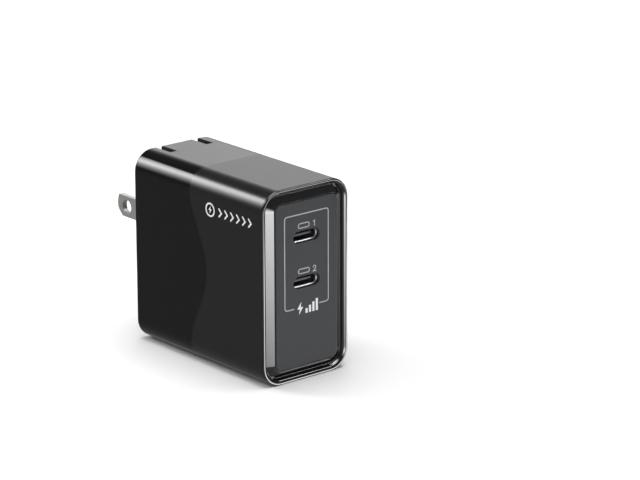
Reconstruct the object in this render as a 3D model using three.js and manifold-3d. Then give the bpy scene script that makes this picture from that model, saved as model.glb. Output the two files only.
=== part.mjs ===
// Two-port USB-C wall charger with folding plug blades.
// Millimetres, +Z up. The ports face -Y, the blades point to +Y, and X runs to the right for
// someone facing the ports. The origin is the centre of the flat face that the charger stands on.

import * as THREE from 'three';
import { mergeVertices } from 'three/addons/utils/BufferGeometryUtils.js';
import Module from 'manifold-3d';

const wasm = await Module();
wasm.setup();

// ---------------------------------------------------------------- driving dimensions

// Housing: a rounded rectangle drawn in X and Z that runs along Y
const CASE_WIDTH = 29.6;
const CASE_HEIGHT = 54.4;
const CASE_DEPTH = 56.0;
const CASE_CORNER = 5.9;
const CASE_WALL = 1.8;
const CASE_REAR_ROUND = 0.6;
const ROUND_SHARE = 0.3;
const PARTING_GAP = 0.2;
const FIT_GAP = 0.15;
const REST_GAP = 0.1;

// Rear cover, set into the rear end of the housing
const COVER_THICKNESS = 1.6;
const COVER_RIM = 1.15;
const COVER_GAP = 0.25;
const COVER_ROUND = 0.2;

// Bezel: rim, groove and inner slope, with a collar and a spigot that sit in the housing
const BEZEL_LIP = 0.4;
const BEZEL_ROUND = 0.3;
const RIM_WIDTH = 0.6;
const BEAD_WIDTH = 0.55;
const BEAD_DEPTH = 0.35;
const GROOVE_WALL_WIDTH = 1.2;
const GROOVE_DEPTH = 1.3;
const SLOPE_WIDTH = 2.2;
const LEDGE_WIDTH = 1.0;
const LEDGE_THICKNESS = 1.0;
const SEAT_SKIN = 0.6;
const SPIGOT_WALL = 1.2;
const SPIGOT_DEPTH = 4.5;
const LATCH_LENGTH = 8.0;
const LATCH_DEPTH = 0.8;

// Port panel
const PANEL_PROUD = 0.3;
const PANEL_EDGE = 0.2;

// USB-C receptacles
const PORT_DROP = 14.1;
const PORT_SPACING = 12.7;
const PORT_WIDTH = 8.94;
const PORT_HEIGHT = 3.16;
const PORT_WALL = 0.3;
const PORT_LENGTH = 9.3;
const PORT_SETBACK = 1.1;
const PORT_BASE_LENGTH = 3.6;
const TONGUE_WIDTH = 6.69;
const TONGUE_THICKNESS = 0.7;
const TONGUE_SETBACK = 1.0;

// Plug blades and the shaft they fold on
const BLADE_PITCH = 12.7;
const BLADE_WIDTH = 6.1;
const BLADE_THICKNESS = 1.5;
const BLADE_REACH = 18.2;
const BLADE_HOLE = 4.0;
const HOLE_TO_TIP = 4.2;
const TIP_CROWN = 0.6;
const TIP_BEVEL = 1.5;
const BLADE_OFFSET = 0.9;
const ROOT_BEVEL = 1.05;
const BLADE_SINK = 0.5;
const BLADE_FACE_GAP = 0.4;
const BLADE_EDGE_GAP = 0.5;
const TIP_SINK = 0.55;
const SHAFT_RADIUS = 1.3;
const SHAFT_BEARING = 2.0;
const CAM_FLAT = 1.05;
const CAM_LENGTH = 5.0;
const RUNNING_GAP = 0.3;

// Cradle that carries the shaft and walls in the blade slots
const CRADLE_WALL = 1.4;
const CRADLE_FLOOR = 1.6;

// Detent leaf and contact springs
const LEAF_THICKNESS = 0.3;
const LEAF_LENGTH = 8.0;
const LEAF_WIDTH = 1.6;
const LEAF_RISE = 0.5;
const CONTACT_THICKNESS = 0.3;
const CONTACT_WIDTH = 1.4;
const CONTACT_LIFT = 2.6;
const CONTACT_BEND = 0.25;
const CONTACT_RAMP = 1.0;
const CONTACT_FOOT = 2.5;

// Boards, liner and heat spreader
const MAIN_BOARD_THICKNESS = 1.4;
const INPUT_BOARD_THICKNESS = 1.0;
const INPUT_BOARD_HEIGHT = 19.0;
const INPUT_BOARD_SPACE = 2.6;
const PORT_BOARD_THICKNESS = 1.0;
const BOARD_MARGIN = 1.6;
const BOARD_CLEARANCE = 1.0;
const SOLDER_SPACE = 1.2;
const LINER_THICKNESS = 0.25;
const LINER_FLANGE = 8.0;
const SPREADER_THICKNESS = 0.4;
const SPREADER_FLANGE = 6.0;
const PAD_THICKNESS = 1.0;
const WALL_GAP = 0.3;

// Transformer
const CORE_WIDTH = 20.0;
const CORE_DEPTH = 13.0;
const CORE_BACK = 3.0;
const CORE_LEG = 3.0;
const CORE_POST = 7.0;
const CORE_AIR_GAP = 0.3;
const CORE_TOP_GAP = 4.4;
const CORE_SETBACK = 18.0;
const BOBBIN_WALL = 0.6;
const WINDING_BUILD = 2.0;

// Other electrical parts
const BULK_RADIUS = 6.4;
const BULK_LENGTH = 22.0;
const CAN_RIM = 0.4;
const OUTPUT_CAP_RADIUS = 3.15;
const OUTPUT_CAP_LENGTH = 11.0;
const OUTPUT_ROW_SETBACK = 9.0;
const OUTPUT_ROW_LOW = 5.0;
const CHOKE_RADIUS = 5.0;
const CHOKE_BORE = 2.6;
const CHOKE_LENGTH = 3.6;
const CHOKE_WIRE = 0.8;
const CHOKE_SPLIT = 1.0;
const CHOKE_STANDOFF = 2.5;
const PART_GAP = 0.8;

// Packaged parts: their sizes along X, Y and Z where they sit
const FILTER_SIZE = [12.0, 5.0, 6.4];
const FUSE_SIZE = [4.0, 7.6, 8.4];
const BRIDGE_SIZE = [8.0, 1.5, 7.0];
const SWITCH_SIZE = [0.9, 8.0, 8.0];
const CONTROLLER_SIZE = [0.9, 5.0, 5.0];
const ISOLATOR_SIZE = [2.0, 4.6, 6.5];
const RECTIFIER_SIZE = [1.0, 6.0, 5.0];
const INDUCTOR_SIZE = [6.6, 3.5, 6.6];
const PORT_CHIP_SIZE = [5.0, 0.9, 5.0];
const HEADER_SIZE = [2.5, 5.0, 12.0];
const LINE_CAP_RADIUS = 4.0;
const LINE_CAP_LENGTH = 3.0;

// Steps of the round stretches, and the limits that keep the geometry sound
const CORNER_STEPS = 4;
const BLADE_STEPS = 10;
const ROUND_STEPS = 20;
const LEAST_CORNER = 0.3;
const LEAST_FLAT = 0.01;
const WELD_DISTANCE = 1e-5;

// ---------------------------------------------------------------- derived places

const FRONT = -CASE_DEPTH / 2;
const REAR = CASE_DEPTH / 2;
const MID_HEIGHT = CASE_HEIGHT / 2;
const INNER_X = CASE_WIDTH / 2 - CASE_WALL;
const INNER_TOP = CASE_HEIGHT - CASE_WALL;
const SHELL_FRONT = FRONT + BEZEL_LIP + PARTING_GAP;
const PANEL_INSET = RIM_WIDTH + GROOVE_WALL_WIDTH + SLOPE_WIDTH;
const PANEL_FACE = FRONT - PANEL_PROUD;
const LEDGE_FACE = FRONT + GROOVE_DEPTH;
const LEDGE_BACK = LEDGE_FACE + LEDGE_THICKNESS;
const COVER_BACK = REAR - COVER_THICKNESS;

// The folded blade lies just under the rear face and ends just under the top face
const PIVOT_Y = REAR - BLADE_SINK - BLADE_WIDTH / 2 + BLADE_OFFSET;
const BLADE_LENGTH = REAR + BLADE_REACH - PIVOT_Y;
const PIVOT_Z = CASE_HEIGHT - TIP_SINK - BLADE_LENGTH;
const SLOT_WIDTH = BLADE_THICKNESS + 2 * BLADE_FACE_GAP;
const SLOT_FLOOR = REAR - BLADE_SINK - BLADE_WIDTH - BLADE_EDGE_GAP;
const SLOT_BOTTOM = PIVOT_Z + BLADE_OFFSET - BLADE_WIDTH / 2 - BLADE_EDGE_GAP;
const SHAFT_HALF = BLADE_PITCH / 2 + SLOT_WIDTH / 2 + SHAFT_BEARING;
const SHAFT_ROOM = SHAFT_HALF + RUNNING_GAP;

const CRADLE_FRONT = SLOT_FLOOR - CRADLE_WALL;
const CRADLE_BACK = COVER_BACK - RUNNING_GAP;
const CRADLE_HALF = SHAFT_ROOM + CRADLE_WALL;
const CRADLE_BOTTOM = SLOT_BOTTOM - CRADLE_FLOOR;

const PORT_FRONT = PANEL_FACE + PORT_SETBACK;
const PORT_REAR = PORT_FRONT + PORT_LENGTH;
const PORT_BOARD_FRONT = PORT_REAR + REST_GAP;
const PORT_BOARD_BACK = PORT_BOARD_FRONT + PORT_BOARD_THICKNESS;
const INPUT_BOARD_BACK = CRADLE_FRONT - INPUT_BOARD_SPACE;
const INPUT_BOARD_FRONT = INPUT_BOARD_BACK - INPUT_BOARD_THICKNESS;

const LINER_FACE = -INNER_X + WALL_GAP + LINER_THICKNESS;
const MAIN_BOARD_LEFT = LINER_FACE + SOLDER_SPACE;
const MAIN_BOARD_FACE = MAIN_BOARD_LEFT + MAIN_BOARD_THICKNESS;
const SEAT_X = MAIN_BOARD_FACE + REST_GAP;
const SPREADER_FACE = INNER_X - WALL_GAP - SPREADER_THICKNESS;
const PAD_LEFT = SPREADER_FACE - REST_GAP - PAD_THICKNESS;
const CORE_HEIGHT = PAD_LEFT - REST_GAP - SEAT_X;

// ---------------------------------------------------------------- materials

const paint = (color, roughness, metalness = 0) =>
  new THREE.MeshStandardMaterial({ color, roughness, metalness });

const FINISH = {
  matteBlack: paint(0x222224, 0.55),
  glossBlack: paint(0x101011, 0.12),
  panelGrey: paint(0x3a3b3d, 0.6),
  coverGrey: paint(0x3a3b3d, 0.65),
  innerBlack: paint(0x18181a, 0.5),
  nickel: paint(0xc9c9c6, 0.25, 1),
  stainless: paint(0xa8a8a8, 0.3, 1),
  bronze: paint(0xb08a4a, 0.35, 1),
  copper: paint(0xb5673a, 0.35, 1),
  board: paint(0x1d5a34, 0.5),
  chip: paint(0x1a1a1c, 0.6),
  ferrite: paint(0x4a4a4c, 0.7),
  tape: paint(0xd9b53a, 0.5),
  foil: paint(0x2f3136, 0.4),
  film: paint(0xe9e6d8, 0.4),
  pad: paint(0x8fa3b0, 0.8),
  boxed: paint(0xd9c23a, 0.45),
  ceramic: paint(0x2c5fa8, 0.5),
};

// ---------------------------------------------------------------- geometry helpers

const UNIT_X = new THREE.Vector3(1, 0, 0);
const UNIT_Y = new THREE.Vector3(0, 1, 0);
const UNIT_Z = new THREE.Vector3(0, 0, 1);
const MINUS_Y = new THREE.Vector3(0, -1, 0);

// Where an outline's own two axes and its run point, for a prism along each axis
const PRISM_AXES = {
  x: [UNIT_Y, UNIT_Z, UNIT_X],
  y: [UNIT_X, UNIT_Z, MINUS_Y],
  z: [UNIT_X, UNIT_Y, UNIT_Z],
};

function outlineFrom(points) {
  return new THREE.Shape(points.map(([u, v]) => new THREE.Vector2(u, v)));
}

function roundedOutline(width, height, radius, u = 0, v = 0) {
  const r = Math.min(radius, width / 2 - LEAST_FLAT, height / 2 - LEAST_FLAT);
  const right = u + width / 2 - r;
  const left = u - width / 2 + r;
  const top = v + height / 2 - r;
  const bottom = v - height / 2 + r;
  const outline = new THREE.Shape();
  outline.absarc(right, bottom, r, -Math.PI / 2, 0);
  outline.absarc(right, top, r, 0, Math.PI / 2);
  outline.absarc(left, top, r, Math.PI / 2, Math.PI);
  outline.absarc(left, bottom, r, Math.PI, 1.5 * Math.PI);
  outline.closePath();
  return outline;
}

// A prism along the axis, from one place to the other, of an outline drawn across it
function prism(axis, outline, from, to, steps = CORNER_STEPS) {
  const options = { depth: to - from, bevelEnabled: false, curveSegments: steps };
  const geometry = new THREE.ExtrudeGeometry(outline, options);
  geometry.applyMatrix4(new THREE.Matrix4().makeBasis(...PRISM_AXES[axis]));
  const start = { x: [from, 0, 0], y: [0, to, 0], z: [0, 0, from] };
  return geometry.translate(...start[axis]);
}

function block(xs, ys, zs) {
  const geometry = new THREE.BoxGeometry(xs[1] - xs[0], ys[1] - ys[0], zs[1] - zs[0]);
  const middle = [xs, ys, zs].map(([low, high]) => (low + high) / 2);
  return geometry.translate(...middle);
}

function around(centre, length) {
  return [centre - length / 2, centre + length / 2];
}

// A cylinder along X
function rod(radius, from, to, y = 0, z = 0, steps = ROUND_STEPS) {
  const geometry = new THREE.CylinderGeometry(radius, radius, to - from, steps);
  geometry.rotateZ(Math.PI / 2);
  return geometry.translate((from + to) / 2, y, z);
}

function toSolid(geometry) {
  const bare = geometry.clone();
  bare.deleteAttribute('normal');
  bare.deleteAttribute('uv');
  const merged = mergeVertices(bare, WELD_DISTANCE);
  const vertProperties = new Float32Array(merged.attributes.position.array);
  const triVerts = new Uint32Array(merged.index.array);
  return new wasm.Manifold(new wasm.Mesh({ numProp: 3, vertProperties, triVerts }));
}

function toGeometry(solid) {
  const mesh = solid.getMesh();
  const geometry = new THREE.BufferGeometry();
  geometry.setAttribute('position', new THREE.BufferAttribute(mesh.vertProperties, 3));
  geometry.setIndex(new THREE.BufferAttribute(mesh.triVerts, 1));
  return geometry;
}

function cut(base, ...tools) {
  return toGeometry(tools.reduce((left, tool) => left.subtract(toSolid(tool)), toSolid(base)));
}

function join(base, ...others) {
  return toGeometry(others.reduce((sum, other) => sum.add(toSolid(other)), toSolid(base)));
}

function common(base, other) {
  return toGeometry(toSolid(base).intersect(toSolid(other)));
}

// The housing's outline, moved inwards by an inset
function caseOutline(inset) {
  const width = CASE_WIDTH - 2 * inset;
  const height = CASE_HEIGHT - 2 * inset;
  const corner = Math.max(CASE_CORNER - inset, LEAST_CORNER);
  return roundedOutline(width, height, corner, 0, MID_HEIGHT);
}

// A closed ring that runs round the housing's outline. Its profile is a closed list of
// [inset, y] points, in the order that turns from the outer side over the front to the inside.
function caseRing(profile) {
  const rings = profile.map(([inset, y]) => {
    const points = caseOutline(inset).getPoints(CORNER_STEPS).slice(0, -1);
    return points.map((point) => [point.x, y, point.y]);
  });
  const count = rings[0].length;
  const index = [];
  for (let i = 0; i < rings.length; i += 1) {
    const here = i * count;
    const next = ((i + 1) % rings.length) * count;
    for (let k = 0; k < count; k += 1) {
      const after = (k + 1) % count;
      index.push(here + k, here + after, next + after);
      index.push(here + k, next + after, next + k);
    }
  }
  const geometry = new THREE.BufferGeometry();
  geometry.setAttribute('position', new THREE.Float32BufferAttribute(rings.flat(2), 3));
  geometry.setIndex(index);
  return geometry;
}

function piece(name, geometry, material, place = [0, 0, 0]) {
  const mesh = new THREE.Mesh(geometry, material);
  mesh.name = name;
  mesh.position.set(...place);
  return mesh;
}

function assembly(place, ...children) {
  const group = new THREE.Group();
  group.position.set(...place);
  group.add(...children);
  return group;
}

// ---------------------------------------------------------------- housing

const BLADE_SIDES = { left: -BLADE_PITCH / 2, right: BLADE_PITCH / 2 };

// The slot that a folded blade lies in: open to the rear and to the top
function bladeSlot(x) {
  return block(around(x, SLOT_WIDTH), [SLOT_FLOOR, REAR + 1], [SLOT_BOTTOM, CASE_HEIGHT + 1]);
}

const bladeSlots = () => Object.values(BLADE_SIDES).map(bladeSlot);

function housingShell() {
  const seat = COVER_BACK - REST_GAP;
  const round = CASE_REAR_ROUND;
  const profile = [
    [0, REAR - round],
    [0, SHELL_FRONT],
    [SEAT_SKIN, SHELL_FRONT],
    [SEAT_SKIN, LEDGE_BACK + REST_GAP],
    [CASE_WALL, LEDGE_BACK + REST_GAP],
    [CASE_WALL, seat],
    [COVER_RIM, seat],
    [COVER_RIM, REAR],
    [round, REAR],
    [round * ROUND_SHARE, REAR - round * ROUND_SHARE],
  ];
  return cut(caseRing(profile), ...bladeSlots());
}

function frontBezel() {
  const slopeEnd = PANEL_INSET;
  const ledgeEnd = PANEL_INSET + LEDGE_WIDTH;
  const collar = SEAT_SKIN + FIT_GAP;
  const spigotOuter = CASE_WALL + FIT_GAP;
  const spigotInner = spigotOuter + SPIGOT_WALL;
  const profile = [
    [slopeEnd, FRONT],
    [slopeEnd, LEDGE_FACE],
    [ledgeEnd, LEDGE_FACE],
    [ledgeEnd, LEDGE_BACK],
    [spigotInner, LEDGE_BACK],
    [spigotInner, FRONT + SPIGOT_DEPTH],
    [spigotOuter, FRONT + SPIGOT_DEPTH],
    [spigotOuter, LEDGE_BACK],
    [collar, LEDGE_BACK],
    [collar, FRONT + BEZEL_LIP],
    [0, FRONT + BEZEL_LIP],
    [0, FRONT + BEZEL_ROUND],
    [BEZEL_ROUND * ROUND_SHARE, FRONT + BEZEL_ROUND * ROUND_SHARE],
    [BEZEL_ROUND, FRONT],
    [RIM_WIDTH, FRONT],
    [RIM_WIDTH + BEAD_WIDTH, FRONT + BEAD_DEPTH],
    [RIM_WIDTH + GROOVE_WALL_WIDTH, FRONT + GROOVE_DEPTH],
  ];
  const windowDepth = around(FRONT + SPIGOT_DEPTH - LATCH_DEPTH, LATCH_DEPTH);
  const latchWindows = block([-INNER_X, INNER_X], windowDepth, around(MID_HEIGHT, LATCH_LENGTH));
  return cut(caseRing(profile), latchWindows);
}

const PORT_HEIGHTS = [CASE_HEIGHT - PORT_DROP, CASE_HEIGHT - PORT_DROP - PORT_SPACING];

function portOutline(grow, z = 0) {
  const height = PORT_HEIGHT + 2 * grow;
  return roundedOutline(PORT_WIDTH + 2 * grow, height, height / 2, 0, z);
}

function portPanel() {
  const inset = PANEL_INSET + FIT_GAP;
  const back = LEDGE_FACE - REST_GAP;
  const plate = prism('y', caseOutline(inset), PANEL_FACE + PANEL_EDGE, back);
  const face = prism('y', caseOutline(inset + PANEL_EDGE), PANEL_FACE, PANEL_FACE + 2 * PANEL_EDGE);
  const hole = (z) => prism('y', portOutline(FIT_GAP, z), PANEL_FACE - 1, back + 1);
  return cut(join(plate, face), ...PORT_HEIGHTS.map(hole));
}

function rearCover() {
  const inset = COVER_RIM + COVER_GAP;
  const plate = prism('y', caseOutline(inset), COVER_BACK, REAR - COVER_ROUND);
  const face = prism('y', caseOutline(inset + COVER_ROUND), REAR - 2 * COVER_ROUND, REAR);
  const reach = SHAFT_RADIUS + RUNNING_GAP;
  const pocket = block(
    [-SHAFT_ROOM, SHAFT_ROOM],
    [COVER_BACK - 1, PIVOT_Y + reach],
    around(PIVOT_Z, 2 * reach),
  );
  return cut(join(plate, face), ...bladeSlots(), pocket);
}

const housing = assembly(
  [0, 0, 0],
  piece('housing_shell', housingShell(), FINISH.matteBlack),
  piece('front_bezel', frontBezel(), FINISH.glossBlack),
  piece('port_panel', portPanel(), FINISH.panelGrey),
  piece('rear_cover', rearCover(), FINISH.coverGrey),
);

// ---------------------------------------------------------------- folding plug

// The group stands on the shaft's axis, so its pieces are drawn round [0, 0].
// A blade's outline is drawn in Y and Z: a crowned tip with its lower corner bevelled, and a
// root that stays inside the circle which the slot leaves free.
function bladeGeometry() {
  const top = BLADE_OFFSET + BLADE_WIDTH / 2;
  const bottom = BLADE_OFFSET - BLADE_WIDTH / 2;
  const root = -bottom;
  const shoulder = top - ROOT_BEVEL;
  const tipEdge = BLADE_LENGTH - TIP_CROWN;
  const outline = new THREE.Shape();
  outline.moveTo(0, bottom);
  outline.lineTo(tipEdge - TIP_BEVEL, bottom);
  outline.lineTo(tipEdge, bottom + TIP_BEVEL);
  outline.quadraticCurveTo(BLADE_LENGTH + TIP_CROWN, BLADE_OFFSET, tipEdge, top);
  outline.lineTo(-root + ROOT_BEVEL, top);
  outline.lineTo(-root, shoulder);
  outline.lineTo(-root, 0);
  outline.absarc(0, 0, root, Math.PI, 1.5 * Math.PI);
  const round = (radius, u, v) => new THREE.Path().absarc(u, v, radius, 0, 2 * Math.PI, true);
  outline.holes.push(round(BLADE_HOLE / 2, BLADE_LENGTH - HOLE_TO_TIP, BLADE_OFFSET));
  outline.holes.push(round(SHAFT_RADIUS + REST_GAP, 0, 0));
  return prism('x', outline, -BLADE_THICKNESS / 2, BLADE_THICKNESS / 2, BLADE_STEPS);
}

// The insulating shaft that both blades sit on, with four detent flats at its middle
function shaftGeometry() {
  const shaft = rod(SHAFT_RADIUS, -SHAFT_HALF, SHAFT_HALF);
  const cam = around(0, CAM_LENGTH);
  const far = SHAFT_RADIUS + 1;
  const flats = [
    block(cam, [CAM_FLAT, far], [-far, far]),
    block(cam, [-far, -CAM_FLAT], [-far, far]),
    block(cam, [-far, far], [CAM_FLAT, far]),
    block(cam, [-far, far], [-far, -CAM_FLAT]),
  ];
  return cut(shaft, ...flats);
}

const plug = assembly(
  [0, PIVOT_Y, PIVOT_Z],
  piece('prong_left', bladeGeometry(), FINISH.nickel, [BLADE_SIDES.left, 0, 0]),
  piece('prong_right', bladeGeometry(), FINISH.nickel, [BLADE_SIDES.right, 0, 0]),
  piece('prong_shaft', shaftGeometry(), FINISH.innerBlack),
);

// ---------------------------------------------------------------- cradle and its springs

const LEAF_TOP = PIVOT_Z - SHAFT_RADIUS - REST_GAP;
const CONTACT_FACE = BLADE_PITCH / 2 - BLADE_THICKNESS / 2 - REST_GAP;

// The space of one contact spring: a channel along the slot wall that faces the other blade
function contactChannel(side) {
  const outer = BLADE_PITCH / 2 - SLOT_WIDTH / 2 + REST_GAP;
  const inner = CONTACT_FACE - CONTACT_BEND - CONTACT_THICKNESS - FIT_GAP;
  const xs = side < 0 ? [-outer, -inner] : [inner, outer];
  const zs = around(PIVOT_Z + CONTACT_LIFT, CONTACT_WIDTH + 2 * FIT_GAP);
  return block(xs, [CRADLE_FRONT - 1, CRADLE_BACK + 1], zs);
}

function cradleGeometry() {
  const ys = [CRADLE_FRONT, CRADLE_BACK];
  const blank = block([-CRADLE_HALF, CRADLE_HALF], ys, [CRADLE_BOTTOM, CASE_HEIGHT]);
  const body = common(blank, prism('y', caseOutline(CASE_WALL + WALL_GAP), ...ys));
  const bore = SHAFT_RADIUS + RUNNING_GAP;
  const bearing = rod(bore, -SHAFT_ROOM, SHAFT_ROOM, PIVOT_Y, PIVOT_Z);
  const open = block([-SHAFT_ROOM, SHAFT_ROOM], [PIVOT_Y, CRADLE_BACK + 1], around(PIVOT_Z, 2 * bore));
  const leafRoom = block(
    around(0, LEAF_LENGTH + 2 * FIT_GAP),
    [PIVOT_Y - LEAF_WIDTH, CRADLE_BACK + 1],
    [LEAF_TOP - LEAF_RISE - LEAF_THICKNESS - FIT_GAP, PIVOT_Z],
  );
  const channels = Object.values(BLADE_SIDES).map(contactChannel);
  return cut(body, ...bladeSlots(), bearing, open, leafRoom, ...channels);
}

// A bowed leaf that the shaft's flats snap against, drawn in X and Z
function detentLeaf() {
  const half = LEAF_LENGTH / 2;
  const outline = new THREE.Shape();
  outline.moveTo(-half, -LEAF_RISE - LEAF_THICKNESS);
  outline.quadraticCurveTo(0, LEAF_RISE - LEAF_THICKNESS, half, -LEAF_RISE - LEAF_THICKNESS);
  outline.lineTo(half, -LEAF_RISE);
  outline.quadraticCurveTo(0, LEAF_RISE, -half, -LEAF_RISE);
  outline.closePath();
  return prism('y', outline, -LEAF_WIDTH / 2, LEAF_WIDTH / 2);
}

// A strip that runs back from the input board beside the blade's root, drawn in X and Y for the
// left blade: a foot on the board, a straight run, and an end bent towards the blade
function contactSpring(side) {
  const t = CONTACT_THICKNESS;
  const blade = CONTACT_FACE;
  const straight = blade - CONTACT_BEND;
  const foot = INPUT_BOARD_BACK + REST_GAP;
  const bend = PIVOT_Y - 2 * SHAFT_RADIUS;
  const end = CRADLE_BACK - FIT_GAP;
  const route = [
    [straight - CONTACT_FOOT, foot],
    [straight, foot],
    [straight, bend],
    [blade, bend + CONTACT_RAMP],
    [blade, end],
    [blade - t, end],
    [blade - t, bend + CONTACT_RAMP],
    [straight - t, bend],
    [straight - t, foot + t],
    [straight - CONTACT_FOOT, foot + t],
  ];
  const outline = outlineFrom(route.map(([u, v]) => [side * u, v]));
  const [low, high] = around(PIVOT_Z + CONTACT_LIFT, CONTACT_WIDTH);
  return prism('z', outline, low, high);
}

const cradle = assembly(
  [0, 0, 0],
  piece('prong_cradle', cradleGeometry(), FINISH.innerBlack),
  piece('detent_spring', detentLeaf(), FINISH.stainless, [0, PIVOT_Y - REST_GAP, LEAF_TOP]),
  piece('contact_spring_left', contactSpring(-1), FINISH.bronze),
  piece('contact_spring_right', contactSpring(1), FINISH.bronze),
);

// ---------------------------------------------------------------- USB-C receptacles

// Each receptacle is drawn at height 0 with its open front at the panel
function portShell() {
  const outer = prism('y', portOutline(0), PORT_FRONT, PORT_REAR);
  return cut(outer, prism('y', portOutline(-PORT_WALL), PORT_FRONT - 1, PORT_REAR + 1));
}

function portBase() {
  const fit = -PORT_WALL - REST_GAP;
  return prism('y', portOutline(fit), PORT_REAR - PORT_BASE_LENGTH, PORT_REAR);
}

function portTongue() {
  const outline = roundedOutline(TONGUE_WIDTH, TONGUE_THICKNESS, TONGUE_THICKNESS / 4);
  const back = PORT_REAR - PORT_BASE_LENGTH - REST_GAP;
  return prism('y', outline, PORT_FRONT + TONGUE_SETBACK, back);
}

function receptacle(name, z) {
  return assembly(
    [0, 0, z],
    piece(`${name}_shell`, portShell(), FINISH.stainless),
    piece(`${name}_base`, portBase(), FINISH.innerBlack),
    piece(`${name}_tongue`, portTongue(), FINISH.innerBlack),
  );
}

const ports = assembly(
  [0, 0, 0],
  receptacle('usb_upper', PORT_HEIGHTS[0]),
  receptacle('usb_lower', PORT_HEIGHTS[1]),
);

// ---------------------------------------------------------------- boards, liner, heat spreader

const BOARD_LOW = CASE_WALL + BOARD_MARGIN;
const BOARD_HIGH = INNER_TOP - BOARD_MARGIN;

// A board's corners follow the housing's rounded inner wall
function insideCase(board) {
  return common(board, prism('y', caseOutline(CASE_WALL + BOARD_CLEARANCE), FRONT, REAR));
}

// The main board stands beside the left wall. Its lower rear corner reaches under the cradle.
function mainBoard() {
  const front = PORT_BOARD_BACK + WALL_GAP;
  const step = INPUT_BOARD_FRONT - WALL_GAP;
  const rear = COVER_BACK - BOARD_MARGIN;
  const under = CRADLE_BOTTOM - BOARD_MARGIN;
  const outline = [
    [front, BOARD_LOW],
    [rear, BOARD_LOW],
    [rear, under],
    [step, under],
    [step, BOARD_HIGH],
    [front, BOARD_HIGH],
  ];
  return insideCase(prism('x', outlineFrom(outline), MAIN_BOARD_LEFT, MAIN_BOARD_FACE));
}

function portBoard() {
  const half = INNER_X - BOARD_MARGIN;
  const board = block([-half, half], [PORT_BOARD_FRONT, PORT_BOARD_BACK], [BOARD_LOW, BOARD_HIGH]);
  return insideCase(board);
}

function inputBoard() {
  const low = CRADLE_BOTTOM;
  const half = INNER_X - BOARD_MARGIN;
  return block([-half, half], [INPUT_BOARD_FRONT, INPUT_BOARD_BACK], [low, low + INPUT_BOARD_HEIGHT]);
}

// A thin sheet bent to the housing's inner wall on one side: side is -1 at the left, 1 at the right
function wallSheet(side, thickness, flange) {
  const front = FRONT + SPIGOT_DEPTH + WALL_GAP;
  const rear = CRADLE_FRONT - WALL_GAP;
  const inset = CASE_WALL + WALL_GAP;
  const outer = prism('y', caseOutline(inset), front, rear);
  const tube = cut(outer, prism('y', caseOutline(inset + thickness), front - 1, rear + 1));
  const edge = INNER_X - WALL_GAP - flange;
  const xs = side < 0 ? [-INNER_X, -edge] : [edge, INNER_X];
  return common(tube, block(xs, [front - 1, rear + 1], [0, CASE_HEIGHT]));
}

const insulationLiner = () => wallSheet(-1, LINER_THICKNESS, LINER_FLANGE);
const heatSpreader = () => wallSheet(1, SPREADER_THICKNESS, SPREADER_FLANGE);

const CORE_CENTRE_Y = INPUT_BOARD_FRONT - CORE_SETBACK;
const CORE_CENTRE_Z = INNER_TOP - CORE_TOP_GAP - CORE_WIDTH / 2;

function thermalPad() {
  const xs = [PAD_LEFT, PAD_LEFT + PAD_THICKNESS];
  return block(xs, around(CORE_CENTRE_Y, CORE_DEPTH), around(CORE_CENTRE_Z, CORE_WIDTH));
}

const boards = assembly(
  [0, 0, 0],
  piece('main_board', mainBoard(), FINISH.board),
  piece('port_board', portBoard(), FINISH.board),
  piece('input_board', inputBoard(), FINISH.board),
  piece('insulation_liner', insulationLiner(), FINISH.film),
  piece('heat_spreader', heatSpreader(), FINISH.copper),
  piece('thermal_pad', thermalPad(), FINISH.pad),
);

// ---------------------------------------------------------------- transformer

// Drawn from the main board's face outwards along X, round its own centre line. The two E-shaped
// core halves face each other over the air gap, and the bobbin and winding sit on the middle legs.
function coreHalf(flip) {
  const half = CORE_WIDTH / 2;
  const post = CORE_POST / 2;
  const reach = (CORE_HEIGHT - CORE_AIR_GAP) / 2;
  const outline = [
    [0, -half],
    [reach, -half],
    [reach, -half + CORE_LEG],
    [CORE_BACK, -half + CORE_LEG],
    [CORE_BACK, -post],
    [reach, -post],
    [reach, post],
    [CORE_BACK, post],
    [CORE_BACK, half - CORE_LEG],
    [reach, half - CORE_LEG],
    [reach, half],
    [0, half],
  ];
  const place = ([u, v]) => (flip ? [CORE_HEIGHT - u, v] : [u, v]);
  return prism('y', outlineFrom(outline.map(place)), -CORE_DEPTH / 2, CORE_DEPTH / 2);
}

// A rectangular ring round the middle leg, from one height to the other
function legRing(inner, outer, from, to) {
  const rectangle = (grow) => [
    [-CORE_DEPTH / 2 - grow, -CORE_POST / 2 - grow],
    [CORE_DEPTH / 2 + grow, -CORE_POST / 2 - grow],
    [CORE_DEPTH / 2 + grow, CORE_POST / 2 + grow],
    [-CORE_DEPTH / 2 - grow, CORE_POST / 2 + grow],
  ];
  const outline = outlineFrom(rectangle(outer));
  outline.holes.push(new THREE.Path(rectangle(inner).map(([u, v]) => new THREE.Vector2(u, v))));
  return prism('x', outline, from, to);
}

const BOBBIN_LOW = CORE_BACK + FIT_GAP;
const BOBBIN_HIGH = CORE_HEIGHT - CORE_BACK - FIT_GAP;
const BOBBIN_OUTER = FIT_GAP + BOBBIN_WALL;
const FLANGE_OUTER = BOBBIN_OUTER + REST_GAP + WINDING_BUILD;

function bobbin() {
  const tube = legRing(FIT_GAP, BOBBIN_OUTER, BOBBIN_LOW, BOBBIN_HIGH);
  const low = legRing(FIT_GAP, FLANGE_OUTER, BOBBIN_LOW, BOBBIN_LOW + BOBBIN_WALL);
  const high = legRing(FIT_GAP, FLANGE_OUTER, BOBBIN_HIGH - BOBBIN_WALL, BOBBIN_HIGH);
  return join(tube, low, high);
}

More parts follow.
